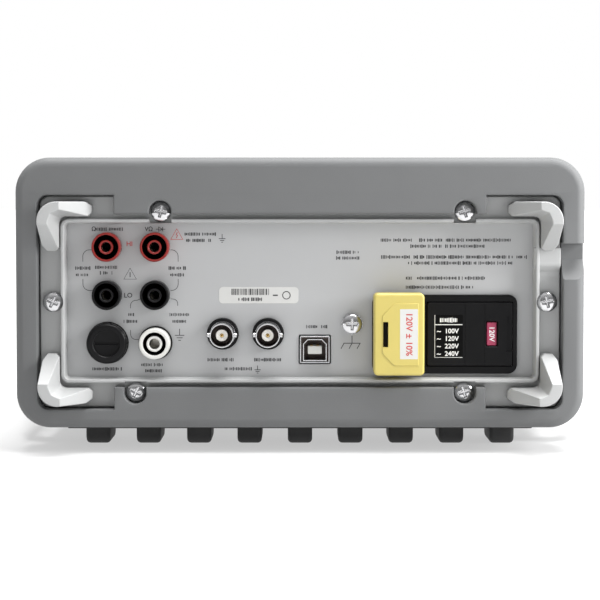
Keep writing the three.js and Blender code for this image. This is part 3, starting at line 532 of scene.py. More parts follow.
# ---------- Panel printing ----------
# Screen-printed legends: a skin of ink. The sentences are rows of plain strokes, and only general signs
# such as HI, LO, V, the diode and the earth mark are spelled out.
black_ink = surface("black_ink", (0.035, 0.035, 0.037), 0.55, tone=0.2, patch=6.0, grain=0.2, bump=0.1)
red_ink = surface("red_ink", (0.5, 0.05, 0.045), 0.55, tone=0.12, patch=6.0, grain=0.2, bump=0.1)
ink_lift = 0.04


def ink_strip(points, width, y=0.0, closed=False):
    """A closed thin band along a line of points, flat on a face that looks to +Y."""
    count = len(points)
    left, right = [], []
    for i, point in enumerate(points):
        before = points[i - 1] if closed or i else point
        after = points[(i + 1) % count] if closed or i + 1 < count else point
        way = Vector((after[0] - before[0], after[1] - before[1])).normalized()
        side = Vector((-way.y, way.x)) * width / 2
        left.append((point[0] + side.x, point[1] + side.y))
        right.append((point[0] - side.x, point[1] - side.y))
    rows = [
        [(x, y, z) for x, z in left],
        [(x, y + ink_lift, z) for x, z in left],
        [(x, y + ink_lift, z) for x, z in right],
        [(x, y, z) for x, z in right],
    ]
    verts = [point for row in rows for point in row]
    faces = []
    for i in range(count if closed else count - 1):
        j = (i + 1) % count
        for row in range(4):
            a, b = row * count, (row + 1) % 4 * count
            faces.append((a + i, a + j, b + j, b + i))
    if not closed:
        faces.append(tuple(row * count for row in range(4)))
        faces.append(tuple(row * count + count - 1 for row in (3, 2, 1, 0)))
    return verts, faces


def lettering(text, x, z, height, y=0.0, turn=0.0, facing=1, lift=ink_lift):
    """Letters as a closed skin of ink, centred on a point, on a face that looks to +Y or -Y."""
    curve = bpy.data.curves.new("letters", "FONT")
    curve.body = text
    curve.size = height * 1.38
    curve.align_x = "CENTER"
    curve.align_y = "CENTER"
    curve.extrude = lift / 2
    curve.offset = 0.025 * height
    curve.resolution_u = 3
    maker = bpy.data.objects.new("letters", curve)
    bpy.context.scene.collection.objects.link(maker)
    bpy.context.view_layer.update()
    mesh = bpy.data.meshes.new_from_object(maker.evaluated_get(bpy.context.evaluated_depsgraph_get()))
    bpy.data.objects.remove(maker)
    flat = bmesh.new()
    flat.from_mesh(mesh)
    bmesh.ops.remove_doubles(flat, verts=flat.verts, dist=0.0005)
    flat.verts.ensure_lookup_table()
    cos, sin = math.cos(math.radians(turn)), math.sin(math.radians(turn))
    points = []
    for vert in flat.verts:
        u, v = vert.co.x, vert.co.y
        u, v = u * cos - v * sin, u * sin + v * cos
        points.append((x - facing * u, y + facing * (vert.co.z + lift / 2), z + v))
    faces = [tuple(vert.index for vert in face.verts) for face in flat.faces]
    flat.free()
    bpy.data.meshes.remove(mesh)
    return points, faces


def arc(x, z, radius, start, end, steps=8):
    turn = [math.radians(start + (end - start) * step / steps) for step in range(steps + 1)]
    return [(x + radius * math.cos(a), z + radius * math.sin(a)) for a in turn]


def earth_mark(x, z, size=1.0):
    strips = [ink_strip([(x, z + 2.6 * size), (x, z)], 0.28)]
    for row, half in enumerate((1.9, 1.2, 0.5)):
        level = z - row * size
        strips.append(ink_strip([(x - half * size, level), (x + half * size, level)], 0.28))
    return strips


sense_x, input_x = jack_places["sense_hi_jack"][0], jack_places["input_hi_jack"][0]
hi_z, lo_z, low_z = (jack_places[name][1] for name in ("input_hi_jack", "input_lo_jack", "amps_jack"))
hair = 0.22
print_lines = []
for start, middle, radius, sweep, end in (
    ((sense_x + 6.0, hi_z - 1.2), (sense_x + 7.2, hi_z - 3.8), 2.6, (90, 0), (sense_x + 9.8, hi_z - 5.9)),
    ((sense_x + 6.0, lo_z + 1.7), (sense_x + 7.2, lo_z + 4.3), 2.6, (-90, 0), (sense_x + 9.8, lo_z + 6.3)),
    ((input_x - 6.0, hi_z - 1.2), (input_x - 6.4, hi_z - 3.8), 2.6, (90, 180), (input_x - 9.0, hi_z - 5.9)),
    ((input_x - 6.0, lo_z + 1.7), (input_x - 6.4, lo_z + 4.3), 2.6, (-90, -180), (input_x - 9.0, lo_z + 6.3)),
    ((input_x + 6.0, lo_z - 1.6), (input_x + 7.8, lo_z - 4.4), 2.2, (100, 0), (input_x + 10.0, lo_z - 5.4)),
    ((input_x + 6.2, low_z + 1.2), (input_x + 7.8, low_z + 3.4), 2.2, (-100, 0), (input_x + 10, low_z + 5.0)),
    ((input_x - 6.0, lo_z - 1.6), (input_x - 6.9, lo_z - 3.6), 1.9, (90, 180), (input_x - 8.8, lo_z - 4.4)),
):
    print_lines.append(ink_strip([start] + arc(*middle, radius, *sweep) + [end], hair))
diode_tip = [(input_x - 1.3, hi_z + 6.1), (input_x - 1.3, hi_z + 7.9), (input_x - 2.8, hi_z + 7.0)]
print_lines += [
    ink_strip([(input_x - 0.2, hi_z + 7.0), (input_x - 4.0, hi_z + 7.0)], hair),
    ink_strip([(input_x - 2.9, hi_z + 6.2), (input_x - 2.9, hi_z + 7.8)], 0.3),
    ink_strip(diode_tip, 0.4, closed=True),
    ink_strip([(65.0, 8.9), (67.5, 13.3), (70.0, 8.9)], 0.3, closed=True),
    ink_strip([(67.5, 11.7), (67.5, 9.7)], 0.35),
    lettering("LO", 68.3, lo_z - 0.3, 1.9),
    lettering("VΩ", input_x + 2.6, hi_z + 7.0, 1.7),
    lettering("Ω", sense_x + 5.4, hi_z + 7.0, 1.7),
]
print_lines += earth_mark(47.9, low_z + 2.9) + earth_mark(16.9, -27.2, 0.65) + earth_mark(30.9, 25.0, 0.7)
chassis_x, chassis_z = earth_place[0], earth_place[1] - 7.7
print_lines += [
    ink_strip([(chassis_x, chassis_z + 3.0), (chassis_x, chassis_z)], 0.3),
    ink_strip([(chassis_x - 3.4, chassis_z), (chassis_x + 3.4, chassis_z)], 0.3),
]
for foot in (-3.2, 0.0, 3.2):
    toe = (chassis_x + foot + 1.2, chassis_z - 2.2)
    print_lines.append(ink_strip([(chassis_x + foot, chassis_z), toe], 0.3))
black_printing = rough_piece("black_printing", *print_lines)
finished(black_printing, [black_ink])
red_printing = rough_piece(
    "red_printing",
    lettering("HI", 67.7, hi_z + 1.1, 1.9),
    ink_strip([(46.5, 24.7), (48.9, 28.9), (51.3, 24.7)], 0.35, closed=True),
    ink_strip([(48.7, 27.5), (49.2, 26.4), (48.6, 26.4), (49.0, 25.3)], 0.3),
)
finished(red_printing, [red_ink])


def node_tree(name, inputs):
    """A geometry node tree with named inputs, its input and output nodes, and its sockets' identifiers."""
    tree = bpy.data.node_groups.new(name, "GeometryNodeTree")
    tree.interface.new_socket("Geometry", in_out="INPUT", socket_type="NodeSocketGeometry")
    tree.interface.new_socket("Geometry", in_out="OUTPUT", socket_type="NodeSocketGeometry")
    known = {}
    for label, kind in inputs.items():
        socket = tree.interface.new_socket(label, in_out="INPUT", socket_type=f"NodeSocket{kind}")
        known[label] = socket.identifier
    return tree, tree.nodes.new("NodeGroupInput"), tree.nodes.new("NodeGroupOutput"), known


def grown(name, start, tree, known, values):
    """The plain mesh that a node tree makes from a starting mesh."""
    piece = bpy.data.objects.new(name, start)
    bpy.context.scene.collection.objects.link(piece)
    change = piece.modifiers.new("grow", "NODES")
    change.node_group = tree
    for label, value in values.items():
        change[known[label]] = value
    settle(piece)
    return piece


# Every sentence on the panel is one edge of a starting mesh. The tree sets strokes along it, of uneven
# height, and leaves some out between words.
strokes, given, result, stroke_inputs = node_tree(
    "printed_strokes",
    {
        **{label: "Float" for label in ("Pitch", "Stroke", "Height", "Lift", "Gaps")},
        "Seed": "Int",
        "Ink": "Material",
    },
)
n, join = strokes.nodes, strokes.links.new
line = n.new("GeometryNodeMeshToCurve")
join(given.outputs["Geometry"], line.inputs["Mesh"])
spaced = n.new("GeometryNodeResampleCurve")
spaced.mode = "LENGTH"
join(line.outputs["Curve"], spaced.inputs["Curve"])
join(given.outputs["Pitch"], spaced.inputs["Length"])
spots = n.new("GeometryNodeCurveToPoints")
spots.mode = "EVALUATED"
join(spaced.outputs["Curve"], spots.inputs["Curve"])
chance = n.new("FunctionNodeRandomValue")
chance.data_type = "BOOLEAN"
join(given.outputs["Gaps"], chance.inputs["Probability"])
join(given.outputs["Seed"], chance.inputs["Seed"])
thinned = n.new("GeometryNodeDeleteGeometry")
join(spots.outputs["Points"], thinned.inputs["Geometry"])
join(chance.outputs[3], thinned.inputs["Selection"])
bar_size = n.new("ShaderNodeCombineXYZ")
join(given.outputs["Stroke"], bar_size.inputs["X"])
join(given.outputs["Lift"], bar_size.inputs["Y"])
join(given.outputs["Height"], bar_size.inputs["Z"])
bar = n.new("GeometryNodeMeshCube")
join(bar_size.outputs["Vector"], bar.inputs["Size"])
uneven = n.new("FunctionNodeRandomValue")
uneven.data_type = "FLOAT_VECTOR"
uneven.inputs["Min"].default_value = (0.8, 1.0, 0.55)
uneven.inputs["Max"].default_value = (1.6, 1.0, 1.0)
join(given.outputs["Seed"], uneven.inputs["Seed"])
placed = n.new("GeometryNodeInstanceOnPoints")
join(thinned.outputs["Geometry"], placed.inputs["Points"])
join(bar.outputs["Mesh"], placed.inputs["Instance"])
join(uneven.outputs["Value"], placed.inputs["Scale"])
real = n.new("GeometryNodeRealizeInstances")
join(placed.outputs["Instances"], real.inputs["Geometry"])
inked = n.new("GeometryNodeSetMaterial")
join(real.outputs["Geometry"], inked.inputs["Geometry"])
join(given.outputs["Ink"], inked.inputs["Material"])
join(inked.outputs["Geometry"], result.inputs["Geometry"])


def sentences(name, lines, height, ink, y=0.0, seed=3):
    """Rows of print, each (middle x, z, width), as strokes of one height."""
    start = bpy.data.meshes.new(name)
    ends = [at(x + side * width / 2, y + ink_lift / 2, z) for x, z, width in lines for side in (1, -1)]
    start.from_pydata(ends, [(2 * i, 2 * i + 1) for i in range(len(lines))], [])
    values = {
        "Pitch": 0.00062,
        "Stroke": 0.00033,
        "Height": height * 0.001,
        "Lift": ink_lift * 0.001,
        "Gaps": 0.13,
        "Seed": seed,
        "Ink": ink,
    }
    piece = grown(name, start, strokes, stroke_inputs, values)
    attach(piece, "case")
    return piece


low_print = low_z - 10.2
sentences(
    "small_printing",
    [
        (sense_x - 0.8, hi_z + 7.0, 10.4),
        (39.6, 26.8, 12.0),
        (40.6, 24.3, 10.0),
        (77.0, 13.6, 8.4),
        (77.0, 11.4, 4.6),
        (86.3, 13.3, 5.6),
        (86.3, 10.6, 5.0),
        (48.8, 13.3, 6.4),
        (48.8, 10.6, 5.0),
        (67.5, -5.2, 2.6),
        (67.5, -7.9, 5.0),
        (48.0, -5.2, 7.4),
        (48.0, -7.9, 5.0),
        (sense_x + 0.4, low_print - 0.3, 11.4),
        (input_x + 0.9, -25.2, 9.4),
        (input_x + 0.9, -27.6, 6.2),
        (31.3, -23.2, 10.6),
        (12.9, -23.2, 10.2),
        (24.6, -26.8, 10.4),
        (-6.6, -10.0, 8.0),
        (-18.9, 19.6, 8.4),
        (-18.9, 17.3, 8.8),
    ],
    1.45,
    black_ink,
)
sentences(
    "notice_printing",
    [
        (-38.2, 24.4, 12.0),
        (-65.8, 24.4, 36.6),
        (-58.8, 22.0, 29.6),
        (-38.2, 17.7, 11.6),
        (-67.6, 17.7, 44.6),
        (-63.6, 15.3, 41.0),
        (-57.8, 9.3, 31.0),
        (-55.4, 5.7, 26.4),
    ],
    1.5,
    black_ink,
    seed=8,
)

# ---------- Serial sticker ----------
# A small white paper label with round ends and a row of bars, stuck flat on the panel.
sticker_paper = surface("sticker_paper", (0.6, 0.6, 0.585), 0.5, tone=0.03, patch=5.0, grain=0.15, bump=0.1)
sticker_x, sticker_z = 16.4, 2.5
sticker = rough_piece(
    "serial_sticker",
    pressing(rounded(31.6, 6.5, 1.6, sticker_x, sticker_z), [(0.0, 0.0), (0.06, 0.0), (0.09, 0.04)]),
)
finished(sticker, [sticker_paper])
bars = random.Random(5)
bar_x, strips = sticker_x + 10.6, []
while bar_x > sticker_x - 4.0:
    width = bars.choice((0.2, 0.3, 0.45))
    strips.append(ink_strip([(bar_x, sticker_z + 0.1), (bar_x, sticker_z + 2.6)], width, y=0.09))
    bar_x -= width + bars.choice((0.2, 0.3, 0.4))
strips.append(ink_strip(circle(1.5, sticker_x - 11.0, sticker_z, 20), 0.35, y=0.09, closed=True))
strips.append(ink_strip([(sticker_x - 5.6, sticker_z), (sticker_x - 7.6, sticker_z)], 0.5, y=0.09))
finished(rough_piece("sticker_bars", *strips), [black_ink])
number_line = [(sticker_x + 3.4, sticker_z - 1.6, 9.0)]
sentences("sticker_number", number_line, 1.5, black_ink, y=0.09, seed=2)

# ---------- Bezel screws ----------
# Six plated steel pan head screws with a cross recess hold the bezel and panel to the case. One head is
# turned, and the tree sets it at each hole with the cross left at whatever angle it was driven to.
plated_steel = surface(
    "plated_steel", (0.62, 0.62, 0.63), 0.2, metal=1.0, tone=0.1, patch=1.6, grain=0.25, bump=0.2, spread=0.1
)


def turning(profile, x=0.0, z=0.0, steps=48):
    """A closed turned piece along Y from a profile of (radius, y), axis to axis."""
    points, faces, rows = [], [], []
    for radius, y in profile:
        if radius == 0.0:
            rows.append([len(points)] * steps)
            points.append((x, y, z))
        else:
            rows.append(list(range(len(points), len(points) + steps)))
            points += [(px, y, pz) for px, pz in circle(radius, x, z, steps)]
    for near, far in zip(rows, rows[1:]):
        for i in range(steps):
            j = (i + 1) % steps
            face = list(dict.fromkeys((near[i], near[j], far[j], far[i])))
            if len(face) > 2:
                faces.append(face)
    return points, faces


def box_shape(x0, x1, y0, y1, z0, z1):
    return pressing([(x0, z0), (x1, z0), (x1, z1), (x0, z1)], [(y0, 0.0), (y1, 0.0)])


def pan_head(name, radius, seat, height, shank, length, recess):
    """A pan head screw at the meter's zero, with a tapered cross cut in its crown."""
    crown = [(radius * math.cos(a), seat + height * 0.42 + height * 0.58 * math.sin(a)) for a in
             (math.pi / 2 * step / 8 for step in range(9))]
    tip = seat - length
    profile = [(0.0, tip), (shank * 0.6, tip), (shank, tip + 1.2), (shank, seat)]
    profile += [(radius - 0.15, seat), (radius, seat + 0.15)] + crown[:-1] + [(0.0, seat + height)]
    screw = rough_piece(name, turning(profile, steps=32))
    top = seat + height
    for long_x in (True, False):
        wide, thin = recess, recess * 0.26
        x, z = (wide, thin) if long_x else (thin, wide)
        blade = pressing(
            [(-x, -z), (x, -z), (x, z), (-x, z)],
            [(top - height * 0.75, min(x, z) * 0.5), (top + 0.5, -0.1)],
        )
        carve(screw, blade)
    soften_edges(screw, 0.1, angle=50.0, segments=2)
    return screw


screw_form = pan_head("screw_form", 4.0, 2.3, 2.7, 1.4, 14.3, 2.3)
driven, given, result, driven_inputs = node_tree(
    "driven_screws",
    {"Screw": "Object", "Most turn": "Float", "Seed": "Int", "Steel": "Material"},
)
n, join = driven.nodes, driven.links.new
form = n.new("GeometryNodeObjectInfo")
join(given.outputs["Screw"], form.inputs["Object"])
turn_by = n.new("FunctionNodeRandomValue")
join(given.outputs["Most turn"], turn_by.inputs[3])
join(given.outputs["Seed"], turn_by.inputs["Seed"])
turn = n.new("ShaderNodeCombineXYZ")
join(turn_by.outputs[1], turn.inputs["Y"])
placed = n.new("GeometryNodeInstanceOnPoints")
join(given.outputs["Geometry"], placed.inputs["Points"])
join(form.outputs["Geometry"], placed.inputs["Instance"])
join(turn.outputs["Vector"], placed.inputs["Rotation"])
real = n.new("GeometryNodeRealizeInstances")
join(placed.outputs["Instances"], real.inputs["Geometry"])
plated = n.new("GeometryNodeSetMaterial")
join(real.outputs["Geometry"], plated.inputs["Geometry"])
join(given.outputs["Steel"], plated.inputs["Material"])
join(plated.outputs["Geometry"], result.inputs["Geometry"])
screw_form.data.transform(Matrix.Translation(-at(0.0, 0.0, 0.0)))
holes = bpy.data.meshes.new("screw_holes")
holes.from_pydata([at(x, 0.0, z) for x, z in bezel_screws], [], [])
screws = grown(
    "bezel_screws",
    holes,
    driven,
    driven_inputs,
    {"Screw": screw_form, "Most turn": 1.6, "Seed": 4, "Steel": plated_steel},
)
bpy.data.objects.remove(screw_form)
finished(screws, [plated_steel], stands_for=[f"bezel_screw_{i}" for i in range(1, 7)])

# ---------- Earth screw ----------
# A larger plated screw for the earth lead, with a toothed washer under its head.
earth_x, earth_z = earth_place
earth_screw = pan_head("earth_screw_head", 4.0, 0.95, 2.3, 2.0, 8.9, 2.4)
earth_screw.data.transform(Matrix.Translation(at(earth_x, 0.0, earth_z) - at(0.0, 0.0, 0.0)))
washer = [((4.35 if i % 2 else 3.9) * math.cos(math.pi * i / 18) + earth_x,
           (4.35 if i % 2 else 3.9) * math.sin(math.pi * i / 18) + earth_z) for i in range(36)]
washer_sides = [(0.35, 0.0), (1.0, 0.0)]
carve(
    earth_screw,
    pressing(washer, washer_sides, [(circle(2.3, earth_x, earth_z, 24), washer_sides)]),
    how="UNION",
)
finished(earth_screw, [plated_steel], stands_for=["earth_screw"])


# ---------- Measuring jacks ----------
# Shrouded 4 mm safety jacks in glass-filled nylon: red for HI, black for LO. Each has an outer shroud, a
# moat, a core round the bore, and a nickel spring sleeve deep in the bore.
red_nylon = surface(
    "red_nylon", (0.22, 0.017, 0.014), 0.32, tone=0.1, patch=4.0, grain=0.3, bump=0.15, shine=0.3
)
black_nylon = surface(
    "black_nylon", (0.007, 0.007, 0.0075), 0.34, tone=0.2, patch=4.0, grain=0.3, bump=0.15, shine=0.14
)
# Painted shade: a near-black finish for thin linings deep in the jack moats and behind the cover's pull slot.
bore_shade = surface(
    "bore_shade", (0.006, 0.005, 0.005), 0.6, tone=0.2, patch=3.0, grain=0.3, bump=0.1, shine=0.1
)
nickel = surface("nickel", (0.5, 0.48, 0.44), 0.3, metal=1.0, tone=0.1, patch=2.0, grain=0.2, bump=0.15)


def jack_shroud(x, z, outer, inner, body, proud, depth, seat):
    """The shroud with its moat: one turned shell, open at the front, with a floor."""
    return turning(
        [
            (0.0, -depth),
            (body, -depth),
            (body, seat),
            (outer - 0.3, seat),
            (outer, seat + 0.3),
            (outer, proud - 0.75),
            (outer - 0.1, proud - 0.35),
            (outer - 0.35, proud - 0.07),
            (outer - 0.6, proud),
            (inner + 0.3, proud),
            (inner + 0.08, proud - 0.1),
            (inner, proud - 0.35),
            (inner, -depth + 6.0),
            (0.0, -depth + 6.0),
        ],
        x,
        z,
    )


def jack_core(x, z, radius, bore, proud, depth):
    return turning(
        [
            (0.0, -depth + 5.8),
            (radius, -depth + 5.8),
            (radius, proud - 0.3),
            (radius - 0.12, proud - 0.06),
            (radius - 0.3, proud),
            (bore + 0.35, proud),
            (bore + 0.05, proud - 0.2),
            (bore, proud - 0.5),
            (bore, -depth + 7.0),
            (0.0, -depth + 7.0),
        ],
        x,
        z,
        40,
    )


def spring_sleeve(x, z, bore, proud, depth):
    return turning(
        [
            (0.0, -depth + 7.1),
            (bore - 0.06, -depth + 7.1),
            (bore - 0.06, proud - 4.2),
            (bore - 0.35, proud - 4.6),
            (bore - 0.35, -depth + 8.0),
            (0.0, -depth + 8.0),
        ],
        x,
        z,
        24,
    )


for name, nylon, slot in (
    ("input_hi_jack", red_nylon, "red_plastic"),
    ("sense_hi_jack", red_nylon, "red_plastic"),
    ("input_lo_jack", black_nylon, "black_plastic"),
    ("sense_lo_jack", black_nylon, "black_plastic"),
):
    x, z = jack_places[name]
    # A thin near-black shell lines the moat: painted shade standing in for the dark depth of the moat.
    moat_shade_lining = turning(
        [(0.0, -12.0), (4.86, -12.0), (4.86, 6.3), (4.78, 6.35), (4.78, -11.5), (0.0, -11.5)], x, z
    )
    jack = rough_piece(
        name + "_body",
        jack_shroud(x, z, 5.8, 4.86, 5.2, 7.0, 20.0, 0.3),
        jack_core(x, z, 2.85, 2.0, 6.5, 20.0),
        (*moat_shade_lining, 1),
        (*spring_sleeve(x, z, 2.0, 6.5, 20.0), 2),
    )
    finished(jack, [nylon, bore_shade, nickel], stands_for=[name])

# ---------- Current jack ----------
# A white safety jack that is also a fuse carrier: it turns a sixth of a turn in a black collar.
white_nylon = surface("white_nylon", (0.66, 0.66, 0.63), 0.3, tone=0.05, patch=4.0, grain=0.3, bump=0.15)
x, z = jack_places["amps_jack"]
amps_jack = rough_piece(
    "current_jack_carrier",
    jack_shroud(x, z, 6.15, 4.55, 4.9, 8.5, 14.0, 1.8),
    jack_core(x, z, 3.15, 2.1, 8.0, 14.0),
    # A thin near-black shell lining the moat: painted shade.
    (*turning([(0.0, -7.9), (4.56, -7.9), (4.56, 7.6), (4.45, 7.7), (4.45, -7.6), (0.0, -7.6)], x, z), 1),
    (*spring_sleeve(x, z, 2.1, 8.0, 14.0), 2),
)
finished(
    amps_jack, [white_nylon, bore_shade, nickel], body="amps_jack", stands_for=["amps_jack"]
)
collar = rough_piece(
    "current_jack_collar",
    turning(
        [
            (0.0, -34.0),
            (5.9, -34.0),
            (5.9, 0.3),
            (6.7, 0.3),
            (6.7, 1.1),
            (6.5, 1.45),
            (6.2, 1.5),
            (5.4, 1.5),
            (5.2, 1.3),
            (5.2, -32.0),
            (0.0, -32.0),
        ],
        x,
        z,
    ),
)
finished(collar, [black_nylon], stands_for=["amps_jack_collar"])

# ---------- Fuse holder ----------
# A black barrel through the panel with a bayonet cap, ribbed round its edge, with a sunk face and a slot
# for a screwdriver. The glass fuse inside keeps its end caps.
x, z = jack_places["fuse_cap"]
holder = rough_piece(
    "fuse_holder_barrel",
    turning(
        [
            (0.0, -44.0),
            (7.2, -44.0),
            (7.2, 0.3),
            (8.35, 0.3),
            (8.35, 1.1),
            (8.1, 1.4),
            (6.3, 1.4),
            (6.3, -42.0),
            (0.0, -42.0),
        ],
        x,
        z,
    ),
)
finished(holder, [black_nylon], stands_for=["fuse_holder"])
cap_seat, cap_face = 1.7, 6.5
cap = rough_piece(
    "fuse_holder_cap",
    turning(
        [
            (0.0, -3.0),
            (3.5, -3.0),
            (3.5, -8.0),
            (6.0, -8.0),
            (6.0, cap_seat),
            (8.05, cap_seat),
            (8.05, cap_face - 1.3),
            (7.9, cap_face - 0.8),
            (7.5, cap_face - 0.3),
            (7.0, cap_face - 0.06),
            (6.6, cap_face),
            (5.5, cap_face),
            (5.3, cap_face - 0.2),
            (5.3, cap_face - 1.3),
            (4.9, cap_face - 1.5),
            (0.0, cap_face - 1.5),
        ],
        x,
        z,
        72,
    ),
)
carve(cap, box_shape(x - 4.9, x + 4.9, cap_face - 2.4, cap_face + 1.0, z - 0.6, z + 0.6))
carve(
    cap,
    *[
        pressing(
            circle(0.35, x + 8.2 * math.cos(a), z + 8.2 * math.sin(a), 10),
            [(cap_seat - 0.5, 0.0), (cap_face - 1.4, 0.0)],
        )
        for a in (math.pi * i / 9 for i in range(18))
    ],
)
finished(cap, [black_nylon], body="fuse_cap", stands_for=["fuse_cap"])

# ---------- Coaxial sockets ----------
# Bayonet coaxial sockets in nickel-plated brass with two side lugs, a white insulator and a gold-plated
# centre contact, standing on a black washer.
insulator = surface("socket_insulator", (0.78, 0.76, 0.71), 0.4, tone=0.05, patch=3.0, grain=0.2, bump=0.1)
gold_contact = surface(
    "gold_contact", (0.75, 0.52, 0.2), 0.3, metal=1.0, tone=0.1, patch=1.0, grain=0.1, bump=0.1
)
# Painted shade: a dark, partly metallic lining deep in the sockets, for their shade and dark reflections.
socket_shade_lining = surface(
    "socket_bore", (0.06, 0.045, 0.04), 0.35, metal=0.6, tone=0.25, patch=3.0, grain=0.3, bump=0.1
)
insulator_half = [(0.0, 4.1), (2.4, 4.1), (2.4, 11.7), (2.25, 12.0), (1.0, 12.0), (0.75, 11.7)]
insulator_half += [(0.75, 5.0), (0.0, 5.0)]
gasket_half = [(5.0, 2.0), (6.15, 2.0), (6.15, 0.4), (6.3, 0.35), (6.3, 2.2), (6.0, 2.5), (5.0, 2.5)]
gasket_half += [(5.0, 2.0)]
for name, (x, z) in (("trigger_in_socket", coax_places[0]), ("trigger_out_socket", coax_places[1])):
    barrel = [
        (0.0, -16.0),
        (5.5, -16.0),
        (5.5, 0.3),
        (6.1, 0.3),
        (6.1, 1.8),
        (5.9, 2.0),
        (4.85, 2.0),
        (4.85, 13.6),
        (4.7, 13.9),
        (4.5, 14.0),
        (4.3, 13.9),
        (4.2, 13.6),
        (4.2, 4.0),
        (0.0, 4.0),
    ]
    socket = rough_piece(name + "_barrel", turning(barrel, x, z))
    for side in (-1, 1):
        lug = turning([(0.0, 0.0), (0.95, 0.0), (0.95, 1.15), (0.75, 1.35), (0.0, 1.4)], steps=20)
        points = [(x + side * (4.5 + py), 10.5 + px, z + pz) for px, py, pz in lug[0]]
        carve(socket, (points, lug[1]), how="UNION")
    inner = rough_piece(
        name + "_inside",
        # The dark sleeve inside the barrel is painted shade.
        (*turning([(0.0, 3.9), (4.18, 3.9), (4.18, 12.6), (4.1, 12.7), (4.1, 4.2), (0.0, 4.2)], x, z), 0),
        (*turning(insulator_half, x, z, 32), 1),
        (*turning([(0.0, 5.0), (0.7, 5.0), (0.7, 11.4), (0.35, 11.5), (0.35, 7.0), (0.0, 7.0)], x, z, 20), 2),
        (*turning(gasket_half, x, z), 3),
    )
    finished(socket, [plated_steel], stands_for=[name])
    finished(inner, [socket_shade_lining, insulator, gold_contact, black_nylon])

# ---------- USB socket ----------
# A type B socket: a folded plated shell, a D-shaped throat with its two upper corners cut, a white
# tongue and four gold contacts.
x, z = usb_place
throat_loop = [(-4.25, -3.9), (4.25, -3.9), (4.25, 2.3), (2.65, 3.9), (-2.65, 3.9), (-4.25, 2.3)]
throat_loop = [(x + px, z - 0.25 + pz) for px, pz in throat_loop]
throat_sides = [(-9.8, 0.0), (-1.6, 0.0)]
throat_wall = [(moved_in(throat_loop, -0.5), throat_sides)]
usb = rough_piece(
    "usb_socket_shell",
    pressing(
        rounded(12.0, 10.9, 0.5, x, z, 4),
        [(-14.0, 0.0), (0.7, 0.0), (1.0, 0.25)],
        [(rounded(11.0, 9.9, 0.3, x, z, 4), [(-14.0, 0.0), (1.0, 0.0)])],
    ),
    # The back of the socket takes the dark lining of painted shade.
    (*pressing(rounded(11.2, 10.1, 0.3, x, z, 4), [(-14.0, 0.0), (-9.5, 0.0)]), 1),
    pressing(
        moved_in(throat_loop, -0.55),
        [(-9.8, 0.0), (0.3, 0.0), (0.55, 0.12)],
        [(throat_loop, [(-9.8, 0.0), (0.35, 0.0), (0.55, -0.12)])],
    ),
    # The filling round the throat takes the dark lining of painted shade.
    (*pressing(rounded(10.9, 9.8, 0.3, x, z, 4), throat_sides, throat_wall), 1),
    (*pressing(rounded(5.6, 3.2, 0.4, x, z - 0.3, 4), [(-9.6, 0.0), (-0.6, 0.0), (-0.4, 0.2)]), 2),
    *[
        (*box_shape(x + dx - 0.55, x + dx + 0.55, -9.0, -1.2, level - 0.05, level + 0.15), 3)
        for dx in (-1.25, 1.25)
        for level in (z - 0.3 - 1.6, z - 0.3 + 1.6)
    ],
)
finished(usb, [plated_steel, socket_shade_lining, white_nylon, gold_contact], stands_for=["usb_socket"])

# ---------- Mains inlet ----------
# A black panel-mount housing that snaps in from outside: a flanged plate with a plug socket and a bay for
# the fuse drawer, three plated blades in the socket, all moulded in a glossy flame-proof plastic.
inlet_plastic = surface(
    "inlet_plastic", (0.007, 0.007, 0.0075), 0.36, tone=0.2, patch=8.0, grain=0.4, bump=0.3, shine=0.1
)
plate_x, plate_z = -57.4, -12.9
socket_x, socket_z = place_of("inlet_cover")
drawer_x, drawer_z = -67.3, -12.8
inlet = rough_piece(
    "mains_inlet_housing",
    pressing(
        rounded(57.6, 31.4, 3.6, plate_x, plate_z),
        [(0.3, 0.0), (1.7, 0.0), (2.1, 0.12), (2.4, 0.4), (2.5, 0.8)],
    ),
)
carve(inlet, box_shape(-84.2, -30.6, -45.0, 0.9, -26.6, 0.8), how="UNION")
carve(
    inlet,
    pressing(
        [(socket_x + u, socket_z + v) for u, v in
         [(-8.2, -12.3), (3.2, -12.3), (8.2, -7.3), (8.2, 7.3), (3.2, 12.3), (-8.2, 12.3)]],
        [(-16.0, 0.0), (2.1, 0.0), (2.6, -0.4)],
    ),
    pressing(rounded(34.4, 25.8, 0.6, drawer_x, drawer_z), [(-30.3, 0.0), (3.5, 0.0)]),
)
finished(inlet, [inlet_plastic], stands_for=["power_inlet"])

# ---------- Fuse and voltage drawer ----------
# A black tray that slides out of the inlet, with a finger notch at its outer end, a printed table of
# voltages, and a window over the selector card.
drawer = rough_piece(
    "fuse_drawer_tray",
    pressing(
        rounded(33.8, 25.2, 0.8, drawer_x, drawer_z, 4),
        [(0.3, 0.0), (2.9, 0.0), (3.25, 0.12), (3.4, 0.4)],
    ),
)
carve(drawer, box_shape(-83.2, -51.4, -30.0, 0.4, -24.4, -1.2), how="UNION")
carve(
    drawer,
    box_shape(-81.7, -52.9, -28.5, -0.7, -22.9, -0.2),
    pressing(rounded(4.6, 10.0, 0.5, -76.0, -12.7, 3), [(-1.7, 0.0), (3.1, 0.0), (3.5, -0.4)]),
    box_shape(-85.2, -82.0, 2.2, 4.0, -19.7, -5.7),
    pressing(rounded(0.25, 24.0, 0.12, -65.4, drawer_z, 2), [(3.25, 0.0), (3.6, 0.0)]),
    pressing(rounded(0.25, 24.0, 0.12, -73.2, drawer_z, 2), [(3.25, 0.0), (3.6, 0.0)]),
)
finished(drawer, [inlet_plastic], body="fuse_drawer", stands_for=["fuse_drawer"])

